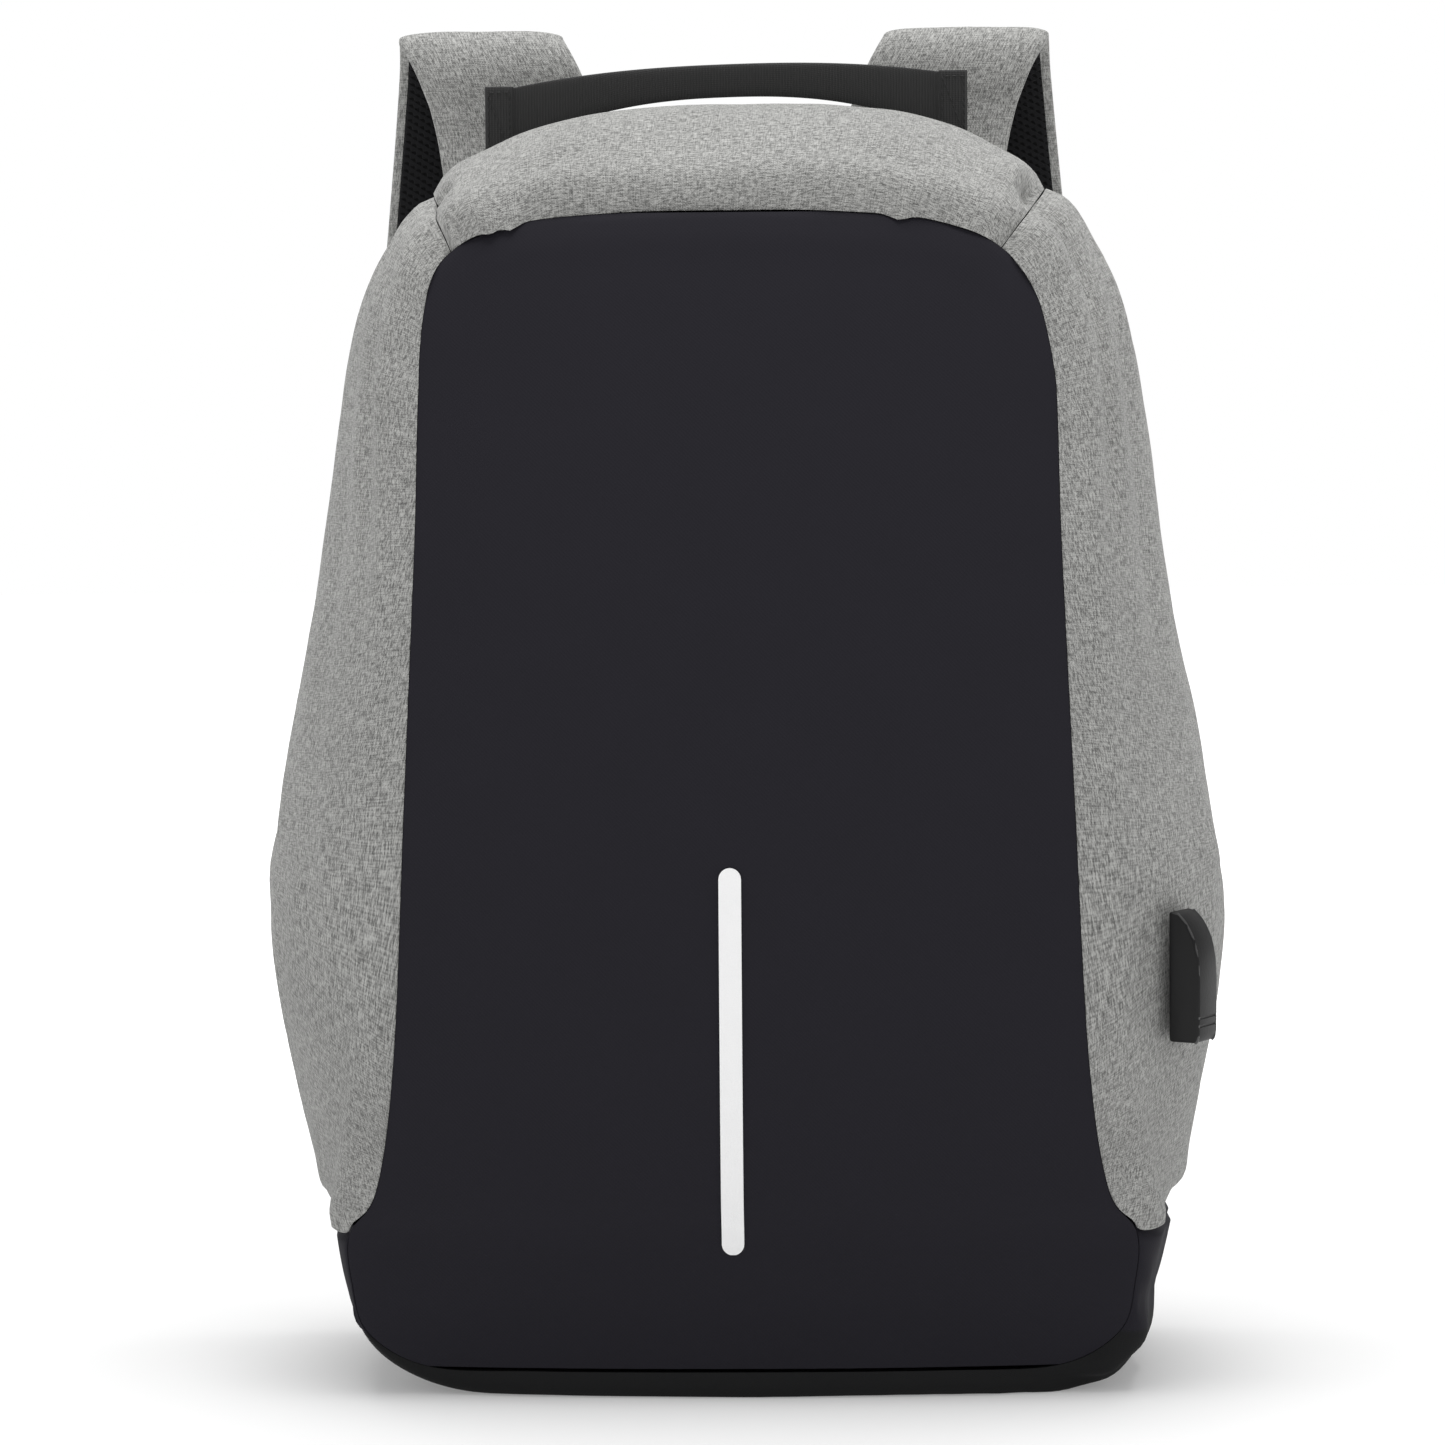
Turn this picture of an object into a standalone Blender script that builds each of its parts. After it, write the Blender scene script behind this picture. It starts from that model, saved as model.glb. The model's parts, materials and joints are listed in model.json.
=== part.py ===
"""Backpack with a plain stiff front panel, padded sides, a back that unzips and a USB outlet.

Metres, +Z up. The front faces -Y and the wearer's back is at +Y. The origin is the middle of
the flat underside. Left and right are those of someone looking at the front panel.
"""

import math

import bmesh
import bpy
import numpy as np
from mathutils import Matrix, Vector

# Driving dimensions.
WALL = 0.0025  # fabric, foam and lining together
SEAM_GAP = 0.0003  # between neighbouring pieces
PANEL_INSET = 0.0014  # front panel edge to gusset edge
BACK_Y = 0.050  # where the gussets end and the zip starts
ZIP_HALF = 0.0053  # width of one side of the zip
ZIP_THICK = 0.0012
BOARD_THICK = 0.004
BOARD_Y = BACK_Y + 2 * ZIP_HALF + 3 * SEAM_GAP
BOARD_BACK_Y = BOARD_Y + BOARD_THICK
BASE_DEEPER = BOARD_BACK_Y - WALL - SEAM_GAP - BACK_Y  # the base reaches back under the zip
HINGE_Z = 0.0515  # fold line of the back panel
TIP_ROW = 5  # where the side gussets end in a rounded tip above the base
CORNER_ROW = 11.2  # seam between side and top gussets
TOP_ROW = 14
HANG_SHIFT = -0.0075  # the handle sits this far left of the middle
STRAP_SHIFT = -0.0073  # and the straps this far
STRAP_X = 0.0877
STRAP_ROOT_Z = 0.440
STRAP_LEAN = 0.013  # each strap rises outwards from its root to its fold
STRAP_WIDTH = 0.060
STRAP_THICK = 0.007
MESH_THICK = 0.0025
WEBBING_WIDTH = 0.025
WEBBING_THICK = 0.0016
ANCHOR_X = 0.118
HANDLE_HALF = 0.086
HANDLE_Y = 0.045
HANDLE_THICK = 0.0025
STRIP_X = -0.003
USB_Z = 0.1435
USB_SIZE = (0.0115, 0.0148, 0.0445)  # proud of the fabric, front to back, height
USB_TURN = math.radians(29)  # its outer face looks this far forward of +X

# Three lines run round half of the bag, row by row from the middle of the underside to the
# middle of the top: the front seam, the widest line and the back seam.
FRONT_SEAM = np.array([
    (0.0, -0.072, 0.009), (0.070, -0.069, 0.009), (0.108, -0.064, 0.010), (0.1285, -0.064, 0.0215),
    (0.1335, -0.068, 0.039), (0.134, -0.071, 0.057), (0.124, -0.0765, 0.073),
    (0.1175, -0.0785, 0.118), (0.1132, -0.0755, 0.2048), (0.1095, -0.066, 0.290),
    (0.1072, -0.054, 0.356), (0.0975, -0.047, 0.3868), (0.073, -0.0435, 0.3995),
    (0.036, -0.042, 0.4035), (0.0, -0.042, 0.404),
])
WIDEST_LINE = np.array([
    (0.0, 0.0, -0.002), (0.070, 0.0, -0.002), (0.106, 0.0, -0.001), (0.131, 0.0, 0.011),
    (0.140, 0.0, 0.032), (0.145, 0.0, 0.0535), (0.1545, 0.0, 0.083), (0.1675, 0.002, 0.1525),
    (0.1625, 0.003, 0.200), (0.147, 0.005, 0.286), (0.135, 0.010, 0.3665),
    (0.1137, 0.016, 0.4066), (0.080, 0.020, 0.4325), (0.040, 0.021, 0.4425), (0.0, 0.021, 0.4445),
])
BACK_SEAM = np.array([
    (0.0, BACK_Y, 0.006), (0.070, BACK_Y, 0.006), (0.102, BACK_Y, 0.007), (0.124, BACK_Y, 0.020),
    (0.131, BACK_Y, 0.036), (0.135, BACK_Y, 0.0535), (0.1445, BACK_Y, 0.083),
    (0.152, BACK_Y, 0.1525), (0.148, BACK_Y, 0.200), (0.136, BACK_Y, 0.285), (0.1245, BACK_Y, 0.359),
    (0.1065, BACK_Y, 0.394), (0.076, BACK_Y, 0.419), (0.040, BACK_Y, 0.4285), (0.0, BACK_Y, 0.430),
])
BACK_TURN = math.radians(55)


def new_collection(name):
    collection = bpy.data.collections.new(name)
    bpy.context.scene.collection.children.link(collection)
    return collection


for old in list(bpy.data.objects):
    bpy.data.objects.remove(old, do_unlink=True)
parts = new_collection("backpack")
cutters = new_collection("cutters")


def material(name, color, roughness, metallic=0.0):
    made = bpy.data.materials.new(name)
    made.use_nodes = True
    shader = made.node_tree.nodes["Principled BSDF"]
    shader.inputs["Base Color"].default_value = (*color, 1.0)
    shader.inputs["Roughness"].default_value = roughness
    shader.inputs["Metallic"].default_value = metallic
    return made


GREY_FABRIC = material("grey_heather_fabric", (0.30, 0.30, 0.29), 0.95)
PANEL_FABRIC = material("panel_fabric", (0.021, 0.020, 0.025), 0.75)
BASE_FABRIC = material("base_fabric", (0.014, 0.016, 0.014), 0.8)
LINING = material("lining_fabric", (0.05, 0.05, 0.055), 0.9)
MESH_FABRIC = material("spacer_mesh", (0.008, 0.008, 0.009), 0.95)
WEBBING = material("black_webbing", (0.026, 0.026, 0.026), 0.85)
FOAM = material("foam_board", (0.04, 0.04, 0.045), 0.9)
REFLECTIVE = material("reflective_tape", (0.83, 0.83, 0.83), 0.4)
PLASTIC = material("black_plastic", (0.02, 0.02, 0.02), 0.45)
STEEL = material("plated_steel", (0.6, 0.6, 0.6), 0.3, 1.0)
ZIP_TAPE = material("zip_tape", (0.012, 0.012, 0.012), 0.8)


def finish(obj, surface, collection=parts):
    """Puts the object in its collection with its material."""
    for home in obj.users_collection:
        home.objects.unlink(obj)
    collection.objects.link(obj)
    obj.data.materials.clear()
    obj.data.materials.append(surface)
    return obj


def from_bmesh(name, shape, surface):
    data = bpy.data.meshes.new(name)
    shape.to_mesh(data)
    shape.free()
    return finish(bpy.data.objects.new(name, data), surface)


def thicken(obj, thickness, side=-1.0):
    """Gives an open surface its wall. Side -1 keeps the drawn face outside, 0 centres it."""
    wall = obj.modifiers.new("wall", "SOLIDIFY")
    wall.thickness = thickness
    wall.offset = side
    wall.use_even_offset = True
    return obj


def sheet(name, rows, surface, thickness, side=-1.0):
    """A four-sided surface through rows of points, thickened to a closed wall."""
    shape = bmesh.new()
    grid = [[shape.verts.new(point) for point in row] for row in rows]
    for low, high in zip(grid, grid[1:]):
        for i in range(len(low) - 1):
            shape.faces.new((low[i], low[i + 1], high[i + 1], high[i]))
    obj = from_bmesh(name, shape, surface)
    return thicken(obj, thickness, side)


def beyond(end, inner):
    """A point past the end of a line: its mirror image at the middle plane, or straight on."""
    return inner * (-1, 1, 1) if abs(end[0]) < 1e-9 else 2 * end - inner


# How far the filled bag leans to the right at its widest line, by height.
LOW_LEAN = (0.0, 0.016, 0.035, 0.06, 0.12, 0.17), (0.0080, 0.0080, 0.0040, 0.0030, 0.0022, 0.0)
# And to the left at the front seam.
TOP_LEAN = (0.345, 0.372, 0.385, 0.400), (0.0, -0.0017, -0.0035, -0.0040)


def smooth_point(line, at):
    """The point of a smooth curve through the line's rows, at a row number with a fraction."""
    first = min(int(at), len(line) - 2)
    share = at - first
    p1, p2 = line[first], line[first + 1]
    p0 = line[first - 1] if first else beyond(p1, p2)
    p3 = line[first + 2] if first + 2 < len(line) else beyond(p2, p1)
    return 0.5 * (
        2 * p1 + (p2 - p0) * share + (2 * p0 - 5 * p1 + 4 * p2 - p3) * share**2
        + (3 * p1 - p0 - 3 * p2 + p3) * share**3
    )


def seam_point(line, row):
    """A point of a seam line; negative rows run round the left half."""
    point = smooth_point(line, abs(row))
    return point * (-1, 1, 1) if row < 0 else point


def skin(row, across):
    """A point of the bag's outside: across is 0 at the front seam, 0.5 at the widest line, 1 at the back."""
    front, wide, back = (seam_point(line, row) for line in (FRONT_SEAM, WIDEST_LINE, BACK_SEAM))
    front = front + (np.interp(front[2], *TOP_LEAN), 0, 0)
    wide = wide + (np.interp(wide[2], *LOW_LEAN), 0, 0)
    flatness = max(0.0, 1 - abs(row) / 4)  # 1 under the bag, 0 up its sides
    power = 2 / (1.85 + 3.8 * flatness)
    if across < 0.5:
        turn = across * math.pi
        out = math.sin(turn) ** power
        deep = 1 - math.cos(turn) ** power
        point = front + (wide - front) * (out, deep, out)
    else:
        turn = (2 * across - 1) * BACK_TURN
        inward = ((1 - math.cos(turn)) / (1 - math.cos(BACK_TURN))) ** (1 + 2 * flatness)
        deep = math.sin(turn) / math.sin(BACK_TURN)
        point = wide + (back - wide) * (inward, deep, inward)
        if abs(row) < TIP_ROW:
            point = point + (0, BASE_DEEPER * deep, 0)
    return np.maximum(point, (-1, -1, 0))


def span(start, end, count):
    return np.linspace(start, end, count)


def skin_piece(name, rows, surface):
    """A wall that follows the bag's outside between two cross seams."""
    across = span(0, 1, 10)
    return sheet(name, [[skin(row, share) for share in across] for row in rows], surface, WALL)


def plate(name, outline, y_front, y_back, surface, holes=()):
    """A flat plate parallel to the front, from (x, z) outlines."""
    data = bpy.data.curves.new(name, "CURVE")
    data.dimensions = "2D"
    data.fill_mode = "BOTH"
    data.extrude = (y_back - y_front) / 2
    for loop in (outline, *holes):
        spline = data.splines.new("POLY")
        spline.points.add(len(loop) - 1)
        for point, (x, z) in zip(spline.points, loop):
            point.co = (x, z, 0, 1)
        spline.use_cyclic_u = True
    obj = bpy.data.objects.new(name, data)
    obj.location.y = (y_front + y_back) / 2
    obj.rotation_euler.x = math.pi / 2
    return finish(obj, surface)


def rounded_box(name, low, high, surface, radius=0.0, segments=2):
    shape = bmesh.new()
    bmesh.ops.create_cube(shape, size=1.0)
    low, high = Vector(low), Vector(high)
    bmesh.ops.scale(shape, vec=high - low, verts=shape.verts)
    obj = from_bmesh(name, shape, surface)
    obj.location = (low + high) / 2
    if radius:
        rounding = obj.modifiers.new("rounding", "BEVEL")
        rounding.width = radius
        rounding.segments = segments
    return obj


def rounded_outline(x0, z0, x1, z1, radius, steps=3):
    """The (x, z) outline of a rectangle with round corners."""
    corners = ((x1, z1, 0), (x0, z1, 1), (x0, z0, 2), (x1, z0, 3))
    points = []
    for x, z, quarter in corners:
        cx = x - math.copysign(radius, x - (x0 + x1) / 2)
        cz = z - math.copysign(radius, z - (z0 + z1) / 2)
        for step in range(steps + 1):
            angle = (quarter + step / steps) * math.pi / 2
            points.append((cx + radius * math.cos(angle), cz + radius * math.sin(angle)))
    return points


def band(name, path, widths, surface, thickness, side=0.0, columns=2):
    """Webbing or padding: a strip along the path, each point with its own width vector."""
    shares = span(-0.5, 0.5, columns)
    rows = [[Vector(p) + Vector(w) * s for s in shares] for p, w in zip(path, widths)]
    return sheet(name, rows, surface, thickness, side)


def resample(points, count):
    """Points spread along a smooth curve through a few route points."""
    line = np.array(points, float)
    return [smooth_point(line, at) for at in span(0, len(line) - 1, count)]


def tube(name, route, count, radius, surface):
    data = bpy.data.curves.new(name, "CURVE")
    data.dimensions = "3D"
    data.bevel_depth = radius
    data.bevel_resolution = 2
    data.use_fill_caps = True
    spline = data.splines.new("POLY")
    spline.points.add(count - 1)
    for point, place in zip(spline.points, resample(route, count)):
        point.co = (*place, 1)
    return finish(bpy.data.objects.new(name, data), surface)


def cut(obj, cutter):
    """Removes the cutter's shape from the object."""
    cutter.hide_render = True
    cutter.display_type = "WIRE"
    for home in cutter.users_collection:
        home.objects.unlink(cutter)
    cutters.objects.link(cutter)
    opening = obj.modifiers.new("opening", "BOOLEAN")
    opening.operation = "DIFFERENCE"
    opening.object = cutter


def under(name, place):
    """An empty on a joint's axis, which the moving pieces hang on."""
    empty = bpy.data.objects.new(name, None)
    empty.location = place
    empty.empty_display_size = 0.02
    parts.objects.link(empty)
    return empty


def hang(pieces, empty):
    for piece in pieces:
        piece.parent = empty
        piece.matrix_parent_inverse = Matrix.Translation(empty.location).inverted()


def panel_rows(first, last, count, inset, depth, crown=1.0):
    """Rows across the front panel, inset from its seam and set back by depth from its face."""
    rows = []
    for row in span(first, last, count):
        edge = seam_point(FRONT_SEAM, row)
        ahead = seam_point(FRONT_SEAM, min(row + 0.05, TOP_ROW)) - seam_point(FRONT_SEAM, row - 0.05)
        inward = np.array((-ahead[2], 0, ahead[0])) / math.hypot(ahead[0], ahead[2])
        at_corner = min(max(6.5 - row, 0), 1)  # the base's wall stands square to the panel here
        edge = edge + inward * inset - (1.3 * WALL * at_corner, 0, 0)
        bulge = crown * panel_crown(edge[2])
        lean = np.interp(edge[2], *TOP_LEAN)
        rows.append([
            (edge[0] * side + lean, edge[1] - bulge * (1 - abs(side) ** 2.2) + depth, edge[2])
            for side in span(-1, 1, 11)
        ])
    return rows


def panel_crown(z):
    """How far the panel's middle stands in front of its edges at this height."""
    return 0.0085 * math.sin(math.pi * min(max((z + 0.02) / 0.435, 0), 1)) ** 0.6 + 0.004 * math.exp(-z / 0.05)


# Front: the stiff panel, its foam board, the strip of reflective tape and the organiser pocket.
def build_front():
    sheet("front_panel", panel_rows(2.02, 13.5, 30, PANEL_INSET, 0.0), PANEL_FABRIC, WALL)
    board_depth = WALL + SEAM_GAP
    board = panel_rows(6.4, 12.6, 12, 0.012, board_depth)
    sheet("front_foam_board", board, FOAM, BOARD_THICK)
    pocket_depth = board_depth + BOARD_THICK + 0.001
    pocket = panel_rows(6.6, 8.8, 5, 0.028, pocket_depth)
    sheet("organiser_pocket", pocket, LINING, 0.0015)
    strip_rows = []
    bottom, top, half = 0.0505, 0.183, 0.0038
    for z in span(bottom, top, 9):
        round_end = min(1.0, math.sqrt(max(0.04, 1 - max(0, 1 - min(z - bottom, top - z) / half) ** 2)))
        face = panel_face(STRIP_X, z) - 0.0022
        strip_rows.append([(STRIP_X + half * side * round_end, face, z) for side in (-1, 1)])
    sheet("reflective_strip", strip_rows, REFLECTIVE, 0.0008)


def panel_face(x, z):
    """The y of the front panel's face near its middle."""
    rows = span(5.5, 13, 120)
    edges = [seam_point(FRONT_SEAM, row) for row in rows]
    if z < edges[0][2]:
        rows = span(2.1, 5.5, 120)
        edges = [seam_point(FRONT_SEAM, row) for row in rows]
    edge = min(edges, key=lambda point: abs(point[2] - z))
    return edge[1] - panel_crown(z) * (1 - abs(x / edge[0]) ** 2.2)


# Sides, top and base.
def build_walls():
    end = 0.04
    side_rows = span(TIP_ROW + end, CORNER_ROW - end, 15)
    skin_piece("right_side_gusset", side_rows, GREY_FABRIC)
    skin_piece("left_side_gusset", -side_rows[::-1], GREY_FABRIC)
    half = span(CORNER_ROW + end, TOP_ROW, 6)
    skin_piece("top_gusset", [*half, *-half[-2::-1]], GREY_FABRIC)
    half = span(0, TIP_ROW - end, 11)
    skin_piece("base", [*-half[:0:-1], *half], BASE_FABRIC)
    outline = back_outline(1.0, TIP_ROW - 0.1, 10, 0.0006)
    plate("base_back_wall", outline, BOARD_BACK_Y - WALL, BOARD_BACK_Y, BASE_FABRIC)
    rounded_box("base_board", (-0.0885, -0.052, WALL + 0.0006), (0.0955, 0.034, WALL + 0.0031), FOAM)


def back_outline(first, last, count, inset):
    """(x, z) points of the back seam from a row on the right, the low way round, to the left."""
    right = [seam_point(BACK_SEAM, row) for row in span(last, first, count)]
    right = [(p[0] - inset, p[2] + inset) for p in right]
    return [*right, *[(-x, z) for x, z in right[::-1]]]


# The zip round the back, and what the back panel carries.
def build_back():
    half = span(TIP_ROW + 0.1, TOP_ROW, 17)
    rows = [*half, *-half[-2::-1]]
    zip_front = BACK_Y + SEAM_GAP
    zip_back = zip_front + ZIP_HALF + SEAM_GAP
    for name, start in (("zip_tape_shell_side", zip_front), ("zip_tape_panel_side", zip_back)):
        seams = [seam_point(BACK_SEAM, row) for row in rows]
        strip = [[(p[0], y, p[2]) for y in (start, start + ZIP_HALF - SEAM_GAP)] for p in seams]
        sheet(name, strip, ZIP_TAPE, ZIP_THICK)
    right = [seam_point(BACK_SEAM, row) for row in half]
    outline = [(p[0], p[2]) for p in right] + [(-p[0], p[2]) for p in right[-2::-1]]
    pieces = [bpy.data.objects["zip_tape_panel_side"]]
    pieces.append(plate("back_board", outline, BOARD_Y, BOARD_BACK_Y, LINING))
    pad_front = BOARD_BACK_Y + SEAM_GAP
    pad_back = pad_front + 0.010
    for name, side in (("left_back_pad", -1), ("right_back_pad", 1)):
        low = (min(side * 0.014, side * 0.098), pad_front, 0.205)
        high = (max(side * 0.014, side * 0.098), pad_back, 0.370)
        pieces.append(rounded_box(name, low, high, MESH_FABRIC, 0.004))
    pieces.append(rounded_box("lumbar_pad", (-0.098, pad_front, 0.098), (0.098, pad_back, 0.192),
                              MESH_FABRIC, 0.004))
    pieces.append(open_pocket("laptop_sleeve", (-0.120, BOARD_Y - 0.0243, 0.072),
                              (0.120, BOARD_Y - SEAM_GAP, 0.325), LINING))
    for name, side in (("left", -1), ("right", 1)):
        x = STRAP_SHIFT + side * (STRAP_X - STRAP_LEAN)
        low = (x - STRAP_WIDTH / 2, pad_front, 0.378)
        high = (x + STRAP_WIDTH / 2, pad_front + 0.006, 0.438)
        pieces.append(rounded_box(f"{name}_strap_anchor", low, high, GREY_FABRIC, 0.0012, 1))
        tab = [(side * 0.100, 0.062), (side * 0.1365, 0.062), (side * 0.1305, 0.0805),
               (side * 0.1055, 0.0805)]
        pieces.append(plate(f"{name}_lower_anchor", tab[::side], pad_front, pad_front + 0.0035, WEBBING))
    hang(pieces, under("back_panel_hinge", (0, BOARD_BACK_Y, HINGE_Z)))
    build_laptop_strap()


def open_pocket(name, low, high, surface, wall=0.0015):
    """A flat pocket, open at the top."""
    shape = bmesh.new()
    bmesh.ops.create_cube(shape, size=1.0)
    low, high = Vector(low), Vector(high)
    bmesh.ops.scale(shape, vec=high - low, verts=shape.verts)
    shape.faces.ensure_lookup_table()
    top = [face for face in shape.faces if face.normal.z > 0.9]
    bmesh.ops.delete(shape, geom=top, context="FACES_ONLY")
    obj = from_bmesh(name, shape, surface)
    obj.location = (low + high) / 2
    return thicken(obj, wall)


def build_laptop_strap():
    """A short strap over the mouth of the sleeve, hinged on the board."""
    y = BOARD_Y - 0.0015
    path = [(0, y, 0.352), (0, y - 0.004, 0.347), (0, y - 0.024, 0.336), (0, y - 0.0265, 0.326),
            (0, y - 0.0265, 0.295)]
    widths = [(0.025, 0, 0)] * len(path)
    strap = band("laptop_strap", path, widths, WEBBING, WEBBING_THICK)
    hang([strap], under("laptop_strap_hinge", (0, y, 0.352)))


# Shoulder straps: the same five pieces on each side.
def strap_route(side):
    x = STRAP_SHIFT + side * STRAP_X
    places = ((-STRAP_LEAN, 0.0765, STRAP_ROOT_Z), (-0.006, 0.078, 0.4575), (0.000, 0.0845, 0.468),
              (0.001, 0.095, 0.468), (0.002, 0.1025, 0.455), (0.006, 0.108, 0.414),
              (0.013, 0.1105, 0.345), (0.021, 0.109, 0.275), (0.029, 0.104, 0.210))
    return resample([(x + side * out, y, z) for out, y, z in places], 26)


def facing(path, i):
    """The outward normal of a strap at a point of its path, square to the strap's run and to X."""
    run = Vector(path[min(i + 1, len(path) - 1)]) - Vector(path[max(i - 1, 0)])
    return run.cross(Vector((1, 0, 0))).normalized() * -1


def build_strap(name, side):
    path = strap_route(side)
    widths = [(STRAP_WIDTH, 0, 0)] * len(path)
    pad = band(f"{name}_strap_pad", path, widths, GREY_FABRIC, STRAP_THICK, columns=3)
    inner = STRAP_THICK / 2 + SEAM_GAP + MESH_THICK / 2
    lining_path = [Vector(p) - facing(path, i) * inner for i, p in enumerate(path)]
    narrow = [(STRAP_WIDTH - 0.006, 0, 0)] * len(path)
    lining = band(f"{name}_strap_mesh", lining_path[1:], narrow[1:], MESH_FABRIC, MESH_THICK)
    end = Vector(path[-1])
    anchor = Vector((side * ANCHOR_X, BOARD_BACK_Y + 0.009, 0.0835))
    down = (anchor - end).normalized()
    flat = [(WEBBING_WIDTH, 0, 0)] * 4
    first = [end + down * 0.0012, end + down * 0.006, end + down * 0.012]
    upper = band(f"{name}_upper_webbing", first, flat[:3], WEBBING, WEBBING_THICK)
    lock = ladder_lock(f"{name}_ladder_lock", end + down * 0.0245, down)
    second = [end + down * 0.0372, end + (anchor - end) * 0.65, anchor]
    lower = band(f"{name}_lower_webbing", second, flat[:3], WEBBING, WEBBING_THICK)
    out = Vector((0, 1, 0))
    tail_path = [end + down * 0.025 + out * 0.006, end + down * 0.045 + out * 0.008,
                 end + down * 0.085 + out * 0.009, end + down * 0.118 + out * 0.010]
    tail = band(f"{name}_webbing_tail", tail_path, flat, WEBBING, WEBBING_THICK)
    root = under(f"{name}_strap_swing", (STRAP_SHIFT + side * (STRAP_X - STRAP_LEAN), 0.0765, STRAP_ROOT_Z))
    hang([pad, lining, upper, lock, lower, tail], root)


def ladder_lock(name, centre, down):
    """A three-bar adjuster: a plate with two slots, lying along the webbing."""
    half_width, half_height = 0.0165, 0.0120
    outline = rounded_outline(-half_width, -half_height, half_width, half_height, 0.003)
    slots = [rounded_outline(-0.013, low, 0.013, low + 0.0045, 0.001) for low in (-0.0085, 0.0040)]
    lock = plate(name, outline, -0.002, 0.002, PLASTIC, slots)
    lock.rotation_euler = (math.pi / 2 + math.atan2(down.y, -down.z), 0, 0)
    lock.location = centre
    return lock


# Carry handle: a webbing band on edge between two stitched tabs.
def top_surface(x, y):
    """The height of the bag's top at a place."""
    best = min(
        (skin(row, share) for row in span(11, TOP_ROW, 60) for share in span(0.5, 1, 30)),
        key=lambda p: (p[0] - abs(x)) ** 2 + (p[1] - y) ** 2,
    )
    return best[2]


def build_handle():
    tab_width = 0.0105
    inner = HANDLE_HALF - tab_width
    rows = []
    for share in span(-1, 1, 15):
        lift = 1 - abs(share) ** 2.4
        middle = 0.4425 + 0.0022 * share + 0.0100 * lift  # its left end lies lower on the bag
        half = 0.0102 - 0.0038 * lift
        x = HANG_SHIFT + inner * share
        rows.append([(x, HANDLE_Y, middle - half), (x, HANDLE_Y, middle + half)])
    pieces = [sheet("handle_band", rows, WEBBING, HANDLE_THICK, 0.0)]
    tab_half = HANDLE_THICK / 2 + 0.0006
    feet = []
    for name, side in (("left", -1), ("right", 1)):
        near = HANG_SHIFT + side * (inner + SEAM_GAP)
        far = HANG_SHIFT + side * HANDLE_HALF
        low_z = top_surface(near, HANDLE_Y) + 0.0030
        feet.append(low_z)
        low = (min(near, far), HANDLE_Y - tab_half, low_z)
        high = (max(near, far), HANDLE_Y + tab_half, 0.4530 + side * 0.0022)
        pieces.append(rounded_box(f"handle_{name}_tab", low, high, WEBBING, 0.0008, 1))
    hang(pieces, under("handle_hinge", (HANG_SHIFT, HANDLE_Y, sum(feet) / 2)))


# Zip sliders on the straight stretch of each side, with their pulls.
def build_sliders():
    middle = BACK_Y + ZIP_HALF + SEAM_GAP
    for name, side in (("left", -1), ("right", 1)):
        face = skin(7, 1)[0] + 0.0012
        z = 0.128
        slider = rounded_box(f"{name}_zip_slider",
                             (min(side * face, side * (face + 0.003)), middle - 0.0045, z),
                             (max(side * face, side * (face + 0.003)), middle + 0.0045, z + 0.011),
                             PLASTIC, 0.001)
        x = face + 0.0034
        pull_path = [(side * x, middle, z + 0.0095), (side * (x + 0.001), middle, z - 0.008),
                     (side * (x + 0.001), middle, z - 0.026)]
        widths = [(0, -side * w, 0) for w in (0.004, 0.006, 0.007)]
        pull = band(f"{name}_zip_pull", pull_path, widths, PLASTIC, 0.0016, 1.0)
        hang([slider], under(f"{name}_slider_run", (side * face, middle, z)))
        hang([pull], under(f"{name}_pull_hinge", (side * x, middle, z + 0.0095)))


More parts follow.
